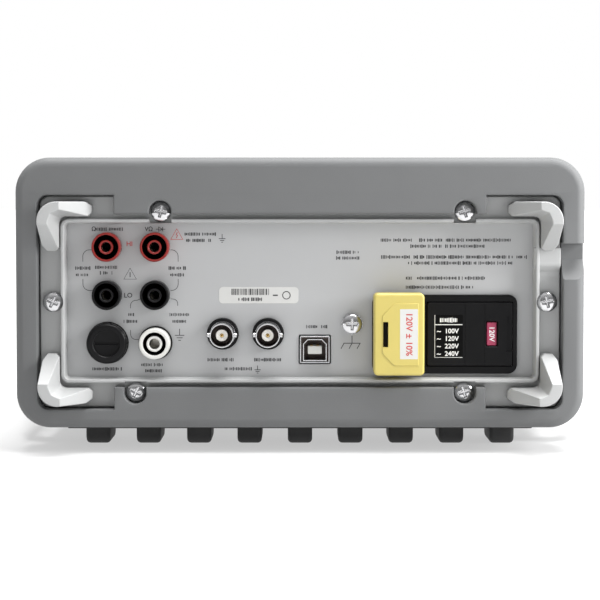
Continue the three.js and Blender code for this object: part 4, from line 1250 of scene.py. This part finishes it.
white_ink = surface("white_ink", (0.75, 0.75, 0.74), 0.5, tone=0.08, patch=4.0, grain=0.2, bump=0.1)
table_ground = surface(
    "table_ground", (0.002, 0.002, 0.002), 0.3, tone=0.2, patch=4.0, grain=0.2, bump=0.1, shine=0.08
)
table_x, table_z, table_y = -58.9, -13.6, 3.4
ground = rough_piece(
    "voltage_table_ground",
    pressing(rounded(11.2, 17.0, 0.1, table_x, table_z, 2), [(table_y, 0.0), (table_y + 0.05, 0.0)]),
)
finished(ground, [table_ground], body="fuse_drawer")
table_y += 0.05
rows = [table_z + 2.0 - 3.0 * row for row in range(4)]
table_edge = [(table_x + 5.5, table_z + 8.4), (table_x + 5.5, table_z - 8.4), (table_x - 5.5, table_z - 8.4)]
table_print = [
    ink_strip(table_edge, 0.18, table_y),
    ink_strip([(table_x + 5.4, table_z + 4.6), (table_x - 5.4, table_z + 4.6)], 0.3, table_y),
]
for z, number in zip(rows, ("100V", "120V", "220V", "240V")):
    table_print.append(lettering(number, table_x - 1.2, z, 1.9, table_y))
    table_print.append(lettering("~", table_x + 3.9, z, 2.0, table_y))
finished(rough_piece("voltage_table", *table_print), [white_ink], body="fuse_drawer")
title_line = [(table_x, table_z + 6.4, 6.4)]
title = sentences("voltage_title", title_line, 2.1, white_ink, y=table_y, seed=6)
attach(title, "fuse_drawer")

# ---------- Voltage selector ----------
# A crimson card in the drawer, with the voltage in use on the edge that shows in the window.
selector_card = surface(
    "selector_card", (0.33, 0.035, 0.085), 0.45, tone=0.12, patch=3.0, grain=0.3, bump=0.2
)
selector = rough_piece(
    "voltage_selector_card",
    pressing(rounded(4.0, 9.4, 0.5, -76.0, -12.7, 4), [(-2.0, 0.0), (2.3, 0.0), (2.6, 0.25)]),
)
carve(selector, box_shape(-81.0, -71.0, -13.0, -1.0, -20.7, -4.7), how="UNION")
finished(selector, [selector_card], body="fuse_drawer", stands_for=["voltage_selector"])
finished(
    rough_piece("selector_number", lettering("120V", -76.0, -12.7, 2.1, 2.6, turn=-90.0)),
    [white_ink],
    body="fuse_drawer",
)

# ---------- Inlet cover ----------
# A yellow push-on cover over the plug socket: a thin shell with soft edges, the socket's outline raised
# on its face, a slot to pull it by, a paper voltage label and two gripping tabs.
cover_plastic = surface(
    "cover_plastic", (0.56, 0.465, 0.13), 0.4, tone=0.04, patch=12.0, grain=0.4, bump=0.25
)
cover_shader = cover_plastic.node_tree.nodes["Principled BSDF"]
cover_shader.inputs["Subsurface Weight"].default_value = 0.08
cover_shader.inputs["Subsurface Radius"].default_value = (0.003, 0.002, 0.0008)
cover_face = 13.75
cover_loop = rounded(19.8, 32.2, 1.7, socket_x, socket_z)
cover = rough_piece(
    "inlet_cover_shell",
    pressing(
        cover_loop,
        [(2.8, 0.0)] + edge_round(cover_face, 0.9, steps=5),
    ),
)
pull_slot = rounded(2.0, 9.9, 0.2, socket_x + 5.3, socket_z, 2)
carve(
    cover,
    pressing(rounded(16.2, 28.6, 1.0, socket_x, socket_z), [(1.8, 0.0), (12.2, 0.0)]),
    pressing(pull_slot, [(11.0, 0.0), (cover_face - 0.2, 0.0), (cover_face + 0.1, -0.2), (15.0, -0.2)]),
)
pad = [(-7.6, -12.2), (1.8, -12.2), (6.6, -7.4), (6.6, 7.4), (1.8, 12.2), (-7.6, 12.2)]
carve(
    cover,
    pressing(
        [(socket_x + u, socket_z + v) for u, v in pad],
        [(cover_face - 0.4, 0.0), (cover_face + 0.12, 0.0), (cover_face + 0.22, 0.15)],
        [(pull_slot, [(cover_face - 0.4, 0.0), (cover_face + 0.22, -0.05)])],
    ),
    *[
        box_shape(
            socket_x - 5.0,
            socket_x + 5.0,
            tab_back,
            5.8,
            socket_z + min(side * near, side * far),
            socket_z + max(side * near, side * far),
        )
        for tab_back, near, far in ((-5.2, 10.5, 12.0), (2.8, 10.6, 15.2))
        for side in (-1, 1)
    ],
    how="UNION",
)
finished(cover, [cover_plastic], body="inlet_cover", stands_for=["inlet_cover"])
# Painted shade: a near-black strip behind the pull slot, standing in for the dark hollow inside the cover.
slot_shade = rough_piece(
    "slot_backing",
    pressing(rounded(3.6, 12.0, 0.4, socket_x + 5.3, socket_z, 3), [(11.4, 0.0), (12.1, 0.0), (12.15, 0.05)]),
)
finished(slot_shade, [bore_shade], body="inlet_cover")
label_x, label_y = socket_x - 3.8, cover_face + 0.22
label = rough_piece(
    "voltage_label",
    pressing(
        rounded(7.0, 19.6, 0.15, label_x, socket_z + 0.2, 2), [(label_y - 0.3, 0.0), (label_y + 0.03, 0.0)]
    ),
)
finished(label, [sticker_paper], body="inlet_cover")
voltage_text = lettering("120V ± 10%", label_x, socket_z + 0.2, 2.5, label_y + 0.02, turn=-90.0, lift=0.03)
finished(rough_piece("voltage_label_print", voltage_text), [red_ink], body="inlet_cover")

# ---------- Handle grip ----------
# A black rubber sleeve round the handle's bar, moulded with nine broad ribs. One rib is shaped and the
# tree repeats it along the bar.
grip_rubber = surface(
    "grip_rubber", (0.034, 0.034, 0.0345), 0.6, tone=0.2, patch=6.0, grain=0.5, bump=0.5, shine=0.4
)
grip_low, grip_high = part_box("handle_grip")
grip_y = ((grip_low[1] + grip_high[1]) / 2 - panel_y) * 1000
floor_z = -middle_z * 1000
bar_z = -49.65


def lengthwise(shape):
    """Turns a shape made along Y to run along X, with its first two directions kept upright."""
    points, faces, *rest = shape
    return ([(y, x, z) for x, y, z in points], faces, *rest)


rib_top = -44.9
rib_middle = (floor_z + rib_top) / 2
rib_loop = rounded(26.6, rib_top - floor_z - 0.1, 3.6, grip_y, rib_middle, 6)
rib = rough_piece(
    "grip_rib",
    lengthwise(
        pressing(rib_loop, edge_round(-5.0, 1.7, way=-1, steps=4) + edge_round(5.0, 1.7, steps=4))
    ),
)
ribs_tree, given, result, ribs_inputs = node_tree(
    "grip_ribs",
    {"Rib": "Object", "Pitch": "Float", "Count": "Int", "Rubber": "Material"},
)
n, join = ribs_tree.nodes, ribs_tree.links.new
form = n.new("GeometryNodeObjectInfo")
join(given.outputs["Rib"], form.inputs["Object"])
span = n.new("ShaderNodeMath")
span.operation = "SUBTRACT"
join(given.outputs["Count"], span.inputs[0])
span.inputs[1].default_value = 1.0
half_span = n.new("ShaderNodeMath")
half_span.operation = "MULTIPLY"
join(span.outputs["Value"], half_span.inputs[0])
join(given.outputs["Pitch"], half_span.inputs[1])
start_x = n.new("ShaderNodeMath")
start_x.operation = "MULTIPLY"
join(half_span.outputs["Value"], start_x.inputs[0])
start_x.inputs[1].default_value = -0.5
start = n.new("ShaderNodeCombineXYZ")
join(start_x.outputs["Value"], start.inputs["X"])
step = n.new("ShaderNodeCombineXYZ")
join(given.outputs["Pitch"], step.inputs["X"])
row = n.new("GeometryNodeMeshLine")
row.mode = "OFFSET"
join(given.outputs["Count"], row.inputs["Count"])
join(start.outputs["Vector"], row.inputs["Start Location"])
join(step.outputs["Vector"], row.inputs["Offset"])
placed = n.new("GeometryNodeInstanceOnPoints")
join(row.outputs["Mesh"], placed.inputs["Points"])
join(form.outputs["Geometry"], placed.inputs["Instance"])
real = n.new("GeometryNodeRealizeInstances")
join(placed.outputs["Instances"], real.inputs["Geometry"])
both = n.new("GeometryNodeJoinGeometry")
join(given.outputs["Geometry"], both.inputs["Geometry"])
join(real.outputs["Geometry"], both.inputs["Geometry"])
rubbered = n.new("GeometryNodeSetMaterial")
join(both.outputs["Geometry"], rubbered.inputs["Geometry"])
join(given.outputs["Rubber"], rubbered.inputs["Material"])
join(rubbered.outputs["Geometry"], result.inputs["Geometry"])
sleeve = rough_piece(
    "grip_sleeve",
    lengthwise(
        pressing(
            rounded(22.0, 8.3, 3.2, grip_y, bar_z, 6),
            [(-96.0, 0.6), (-95.4, 0.0), (95.4, 0.0), (96.0, 0.6)],
            [(rounded(16.6, 5.8, 0.4, grip_y, bar_z, 2), [(-96.0, 0.0), (96.0, 0.0)])],
        )
    ),
)
sleeve_mesh = sleeve.data
bpy.data.objects.remove(sleeve)
grip = grown(
    "handle_grip_rubber",
    sleeve_mesh,
    ribs_tree,
    ribs_inputs,
    {"Rib": rib, "Pitch": 0.0207, "Count": 9, "Rubber": grip_rubber},
)
bpy.data.objects.remove(rib)
finished(grip, [grip_rubber], body="handle", stands_for=["handle_grip"])


# ---------- Handle ----------
# One glass-filled nylon moulding: two flat arms that hang on the pivots, joined by the bar in the grip.
def softened_copy(node, name, radius):
    """A copy of the meter's own part, with its flat faces made whole and its edges rounded."""
    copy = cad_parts[node].data.copy()
    piece = bpy.data.objects.new(name, copy)
    bpy.context.scene.collection.objects.link(piece)
    soften_edges(piece, radius, angle=30.0)
    return piece


handle_plastic = surface(
    "handle_plastic", (0.15, 0.153, 0.157), 0.5, tone=0.06, patch=14.0, grain=0.5, bump=0.35
)
handle = softened_copy("handle_frame", "handle_frame_moulding", 1.0)
finished(handle, [handle_plastic], body="handle", stands_for=["handle_frame"])

pivot_y = (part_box("pivot_pin_left")[0][1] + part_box("pivot_pin_left")[1][1] - 2 * panel_y) / 2 * 1000
for side, name in ((1, "pivot_pin_right"), (-1, "pivot_pin_left")):
    profile = [
        (0.0, 106.8),
        (10.0, 106.8),
        (10.0, 111.7),
        (6.0, 111.7),
        (6.0, 118.3),
        (13.8, 118.3),
        (14.0, 118.6),
        (14.0, 122.4),
        (13.7, 123.9),
        (12.9, 125.2),
        (11.6, 126.1),
        (10.2, 126.4),
        (9.6, 126.2),
        (9.3, 125.7),
        (8.6, 125.5),
        (0.0, 125.5),
    ]
    points, faces = turning(profile, steps=64)
    points = [(side * y, pivot_y + x, z) for x, y, z in points]
    pin = rough_piece(name + "_turned", (points, faces))
    carve(pin, box_shape(*sorted((side * 124.6, side * 128.0)), pivot_y - 5.5, pivot_y + 5.5, -0.8, 0.8))
    finished(pin, [handle_plastic], stands_for=[name])

# ---------- Front bumper ----------
# The same elastomer sleeve at the display end, with an open mouth and two feet moulded under it.
front_end = (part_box("front_bumper")[0][1] - panel_y) * 1000
front_back = front_end + bumper_length


def upright(shape):
    """Turns a shape made along Y to stand along Z, its outline then lying in X and Y."""
    points, faces, *rest = shape
    return ([(x, z, y) for x, y, z in points], faces, *rest)


front_bumper = rough_piece(
    "front_bumper_sleeve",
    pressing(
        bumper_outline,
        edge_round(front_end, 3.5, way=-1, steps=7) + edge_round(front_back, 1.2, steps=4),
        [
            (
                rounded(206.8, 84.4, 4.0),
                [(front_end, -0.5), (front_end + 0.15, -0.15), (front_end + 0.5, 0.0), (front_back, 0.0)],
            )
        ],
    ),
)
carve(front_bumper, pressing(case_seat, [(front_end + 11.2, 0.0), (front_back + 1.0, 0.0)]))
foot_y = front_end + 16.0
foot_sides = edge_round(floor_z, 1.0, way=-1, steps=3) + [(-46.0, 0.0)]
carve(
    front_bumper,
    *[upright(pressing(rounded(36.0, 22.0, 4.0, x, foot_y), foot_sides)) for x in (-72.0, 72.0)],
    how="UNION",
)
finished(front_bumper, [bumper_elastomer], stands_for=["front_bumper"])

# ---------- Front panel ----------
# A light grey ABS moulding inside the front bumper, cut for the window, keys, buttons and jacks.
front_face = front_end + 8.0
key_places = [place_of(f"key_{number:02d}") for number in range(1, 11)]
power_place, inputs_place = place_of("power_button"), place_of("inputs_button")
front_jacks = {
    f"front_{name}_jack": place_of(f"front_{name}_jack")
    for name in ("input_hi", "sense_hi", "input_lo", "sense_lo", "amps")
}
window_x, window_z = place_of("display_lens")


def opening_in_front(loop):
    return (loop, [(front_face, -0.3), (front_face + 0.3, 0.0), (front_face + 3.5, 0.0)])


front_holes = [opening_in_front(rounded(14.6, 8.6, 1.4, x, z, 4)) for x, z in key_places]
front_holes += [
    opening_in_front(rounded(12.6, 12.6, 1.6, *power_place, 4)),
    opening_in_front(rounded(10.6, 10.6, 1.6, *inputs_place, 4)),
    (rounded(104.0, 26.0, 1.0, window_x, window_z), [(front_face, 0.0), (front_face + 3.5, 0.0)]),
]
front_holes += [opening_in_front(circle(5.5, *place)) for place in front_jacks.values()]
front_panel = rough_piece(
    "front_panel_moulding",
    pressing(
        rounded(206.0, 83.6, 3.6),
        edge_round(front_face, 0.8, way=-1, steps=3) + [(front_face + 3.5, 0.0)],
        front_holes,
    ),
    pressing(
        rounded(213.0, 88.0, 4.0),
        [(front_face + 3.5, 0.0), (front_face + 11.5, 0.0)],
        [(rounded(203.0, 78.0, 2.0), [(front_face + 3.5, 0.0), (front_face + 11.5, 0.0)])],
    ),
)
carve(
    front_panel,
    pressing(
        rounded(112.6, 34.6, 2.0, window_x, window_z),
        [(front_face - 1.0, -0.3), (front_face, -0.3), (front_face + 0.3, 0.0), (front_face + 2.1, 0.0)],
    ),
)
finished(front_panel, [bezel_plastic], stands_for=["front_panel"])

key_plastic = surface("key_plastic", (0.62, 0.625, 0.62), 0.4, tone=0.03, patch=6.0, grain=0.3, bump=0.2)
for number, (x, z) in enumerate(key_places, 1):
    name = f"key_{number:02d}"
    key = softened_copy(name, name + "_cap", 0.35)
    finished(key, [key_plastic], body=name, stands_for=[name])
    mark = rough_piece(name + "_mark", lettering(str(number % 10), x, z, 3.0, front_face - 2.5, facing=-1))
    finished(mark, [black_ink], body=name)
power_key = softened_copy("power_button", "power_button_cap", 0.6)
finished(power_key, [key_plastic], body="power_button", stands_for=["power_button"])
inputs_key = softened_copy("inputs_button", "inputs_button_cap", 0.6)
finished(inputs_key, [key_plastic], body="inputs_button", stands_for=["inputs_button"])


def mirrored_strip(points, width, y, closed=False):
    verts, faces = ink_strip(points, width, 0.0, closed)
    return [(x, y - lift, z) for x, lift, z in verts], faces


px, pz = power_place
power_mark = rough_piece(
    "power_mark",
    mirrored_strip(arc(px, pz - 0.2, 2.4, 125, 415, 20), 0.5, front_face - 4.0),
    mirrored_strip([(px, pz + 0.4), (px, pz + 3.0)], 0.5, front_face - 4.0),
)
finished(power_mark, [black_ink], body="power_button")
front_print = []
for text, jack, across, up in (
    ("HI", "input_hi", -9.5, 0.0),
    ("LO", "input_lo", -9.5, 0.0),
    ("VΩ", "input_hi", 0.0, 9.0),
    ("Ω", "sense_hi", 0.0, 9.0),
    ("A", "amps", -9.5, 0.0),
):
    x, z = front_jacks[f"front_{jack}_jack"]
    front_print.append(lettering(text, x + across, z + up, 2.2, front_face, facing=-1))
front_print.append(
    mirrored_strip(rounded(47.0, 62.0, 3.0, 72.4, 3.2, 6), 0.3, front_face, closed=True)
)
finished(rough_piece("front_printing", *front_print), [black_ink])

# ---------- Front jacks ----------
# The same safety jacks as at the back, facing the other way.
for name, (x, z) in front_jacks.items():
    nylon = red_nylon if "_hi_" in name else white_nylon if "amps" in name else black_nylon
    slot = "red_plastic" if "_hi_" in name else "white_plastic" if "amps" in name else "black_plastic"
    shapes = [
        jack_shroud(x, z, 5.8, 4.6, 5.2, 6.0, 16.0, 0.3),
        jack_core(x, z, 3.1, 2.0, 5.5, 16.0),
        # A thin near-black shell lining the moat: painted shade.
        (*turning([(0.0, -9.9), (4.61, -9.9), (4.61, 5.2), (4.5, 5.3), (4.5, -9.5), (0.0, -9.5)], x, z), 1),
        (*spring_sleeve(x, z, 2.0, 5.5, 16.0), 2),
    ]
    turned_round = [([(px, front_face - py, pz) for px, py, pz in points], *rest) for points, *rest in shapes]
    jack = rough_piece(name + "_body", *turned_round)
    finished(jack, [nylon, bore_shade, nickel], stands_for=[name])

# ---------- Display ----------
# A smoked acrylic window over a module whose segments glow a cool white.
lens = bpy.data.materials.new("smoked_lens")
lens.use_nodes = True
lens_shader = lens.node_tree.nodes["Principled BSDF"]
lens_shader.inputs["Transmission Weight"].default_value = 1.0
lens_shader.inputs["IOR"].default_value = 1.49
smoke_place = lens.node_tree.nodes.new("ShaderNodeTexCoord")
smoke = lens.node_tree.nodes.new("ShaderNodeTexNoise")
smoke.inputs["Scale"].default_value = 60.0
lens.node_tree.links.new(smoke_place.outputs["Object"], smoke.inputs["Vector"])
smoke_tone = lens.node_tree.nodes.new("ShaderNodeMix")
smoke_tone.data_type = "RGBA"
smoke_tone.inputs["A"].default_value = (0.3, 0.32, 0.34, 1.0)
smoke_tone.inputs["B"].default_value = (0.36, 0.38, 0.4, 1.0)
lens.node_tree.links.new(smoke.outputs["Fac"], smoke_tone.inputs["Factor"])
lens.node_tree.links.new(smoke_tone.outputs["Result"], lens_shader.inputs["Base Color"])
smear = lens.node_tree.nodes.new("ShaderNodeMapRange")
smear.inputs["To Min"].default_value = 0.05
smear.inputs["To Max"].default_value = 0.12
lens.node_tree.links.new(smoke.outputs["Fac"], smear.inputs["Value"])
lens.node_tree.links.new(smear.outputs["Result"], lens_shader.inputs["Roughness"])
lens_plate = rough_piece(
    "display_window",
    pressing(
        rounded(112.0, 34.0, 2.0, window_x, window_z),
        [(front_face + 0.1, 0.3), (front_face + 0.3, 0.0), (front_face + 1.8, 0.0)],
    ),
)
finished(lens_plate, [lens], stands_for=["display_lens"])

segment_glow = bpy.data.materials.new("segment_glow")
segment_glow.use_nodes = True
glow_shader = segment_glow.node_tree.nodes["Principled BSDF"]
glow_place = segment_glow.node_tree.nodes.new("ShaderNodeTexCoord")
glow_noise = segment_glow.node_tree.nodes.new("ShaderNodeTexNoise")
glow_noise.inputs["Scale"].default_value = 400.0
segment_glow.node_tree.links.new(glow_place.outputs["Object"], glow_noise.inputs["Vector"])
glow_tone = segment_glow.node_tree.nodes.new("ShaderNodeMix")
glow_tone.data_type = "RGBA"
glow_tone.inputs["A"].default_value = (0.45, 0.85, 0.8, 1.0)
glow_tone.inputs["B"].default_value = (0.6, 1.0, 0.95, 1.0)
segment_glow.node_tree.links.new(glow_noise.outputs["Fac"], glow_tone.inputs["Factor"])
segment_glow.node_tree.links.new(glow_tone.outputs["Result"], glow_shader.inputs["Base Color"])
segment_glow.node_tree.links.new(glow_tone.outputs["Result"], glow_shader.inputs["Emission Color"])
glow_shader.inputs["Emission Strength"].default_value = 3.0
glow_shader.inputs["Roughness"].default_value = 0.5

module_face = (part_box("display_module")[0][1] - panel_y) * 1000
segment_ways = {
    "top": ((-1, 2), (1, 2)),
    "upper_right": ((1, 2), (1, 0)),
    "lower_right": ((1, 0), (1, -2)),
    "bottom": ((-1, -2), (1, -2)),
    "lower_left": ((-1, 0), (-1, -2)),
    "upper_left": ((-1, 2), (-1, 0)),
    "middle": ((-1, 0), (1, 0)),
}
lit = {
    "0": "top upper_right lower_right bottom lower_left upper_left",
    "1": "upper_right lower_right",
    "2": "top upper_right middle lower_left bottom",
}
digit_shapes = []
for place, digit in enumerate("1200000"):
    cx = window_x - 36.0 + place * 11.0
    for name in lit[digit].split():
        (u0, v0), (u1, v1) = segment_ways[name]
        ends = [(cx + 2.6 * u0, window_z + 2.6 * v0 + 0.5), (cx + 2.6 * u1, window_z + 2.6 * v1 + 0.5)]
        way = Vector((ends[1][0] - ends[0][0], ends[1][1] - ends[0][1])).normalized() * 0.6
        ends = [(ends[0][0] + way.x, ends[0][1] + way.y), (ends[1][0] - way.x, ends[1][1] - way.y)]
        digit_shapes.append(mirrored_strip(ends, 0.9, module_face))
digits = rough_piece("display_digits", *digit_shapes)
finished(digits, [segment_glow])

# ---------- Case sleeve ----------
# A drawn steel tube in light grey textured paint, with a row of cooling slots in each side.
case_paint = surface("case_paint", (0.19, 0.196, 0.2), 0.5, tone=0.03, patch=60.0, grain=0.7, bump=0.5)
sleeve_front, sleeve_back = ((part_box("case_sleeve")[i][1] - panel_y) * 1000 for i in (0, 1))
case = rough_piece(
    "case_sleeve_tube",
    pressing(
        rounded(213.0, 88.0, 4.0),
        [(sleeve_front, 0.0), (sleeve_back, 0.0)],
        [(rounded(210.0, 85.0, 2.5), [(sleeve_front, 0.0), (sleeve_back, 0.0)])],
    ),
)
slot_form = rough_piece(
    "slot_form",
    lengthwise(pressing(rounded(2.4, 26.0, 1.2, 0.0, 0.0, 5), [(-120.0, 0.0), (120.0, 0.0)])),
)
slot_form.data.transform(Matrix.Translation(-at(0.0, 0.0, 0.0)))
slots_tree, given, result, slots_inputs = node_tree(
    "cooling_slots",
    {"Slot": "Object", "Pitch": "Float", "Count": "Int", "Paint": "Material"},
)
n, join = slots_tree.nodes, slots_tree.links.new
form = n.new("GeometryNodeObjectInfo")
join(given.outputs["Slot"], form.inputs["Object"])
start = n.new("GeometryNodeInputPosition")
step = n.new("ShaderNodeCombineXYZ")
join(given.outputs["Pitch"], step.inputs["Y"])
row = n.new("GeometryNodeMeshLine")
row.mode = "OFFSET"
join(given.outputs["Count"], row.inputs["Count"])
join(step.outputs["Vector"], row.inputs["Offset"])
rows = n.new("GeometryNodeInstanceOnPoints")
join(given.outputs["Geometry"], rows.inputs["Points"])
join(row.outputs["Mesh"], rows.inputs["Instance"])
spots = n.new("GeometryNodeRealizeInstances")
join(rows.outputs["Instances"], spots.inputs["Geometry"])
placed = n.new("GeometryNodeInstanceOnPoints")
join(spots.outputs["Geometry"], placed.inputs["Points"])
join(form.outputs["Geometry"], placed.inputs["Instance"])
real = n.new("GeometryNodeRealizeInstances")
join(placed.outputs["Instances"], real.inputs["Geometry"])
painted = n.new("GeometryNodeSetMaterial")
join(real.outputs["Geometry"], painted.inputs["Geometry"])
join(given.outputs["Paint"], painted.inputs["Material"])
join(painted.outputs["Geometry"], result.inputs["Geometry"])
row_start = bpy.data.meshes.new("slot_rows")
row_start.from_pydata([at(0.0, -118.0, 18.0)], [], [])
slots = grown(
    "slots",
    row_start,
    slots_tree,
    slots_inputs,
    {"Slot": slot_form, "Pitch": 0.0055, "Count": 15, "Paint": case_paint},
)
bpy.data.objects.remove(slot_form)
combine(case, slots, "DIFFERENCE")
finished(case, [case_paint], stands_for=["case_sleeve"])

# ---------- Inside the case ----------
# The zinc-plated tray, two green boards, the transformer's laminations, the fuses and the inlet's
# blades keep their own shapes and take finishes that suit them.
zinc = surface("zinc_plate", (0.5, 0.51, 0.53), 0.4, metal=0.9, tone=0.15, patch=7.0, grain=0.5, bump=0.1)
board_mask = surface("board_mask", (0.03, 0.13, 0.06), 0.35, tone=0.35, patch=2.2, grain=0.6, bump=0.3)
laminations = surface(
    "laminations", (0.2, 0.17, 0.14), 0.5, metal=0.4, tone=0.3, patch=3.0, grain=0.4, bump=0.4
)
fuse_glass = surface("fuse_glass", (0.6, 0.62, 0.62), 0.15, tone=0.15, patch=2.0, grain=0.3, bump=0.1)
module_black = surface(
    "module_black", (0.006, 0.006, 0.007), 0.4, tone=0.2, patch=5.0, grain=0.3, bump=0.2, shine=0.15
)
for node, finish in {
    "chassis": zinc,
    "main_board": board_mask,
    "front_board": board_mask,
    "power_transformer": laminations,
    "cartridge_fuse": fuse_glass,
    "mains_fuse": fuse_glass,
    "display_module": module_black,
    "inlet_earth_pin": plated_steel,
    "inlet_line_pin": plated_steel,
    "inlet_neutral_pin": plated_steel,
}.items():
    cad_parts[node].material_slots[0].material = finish
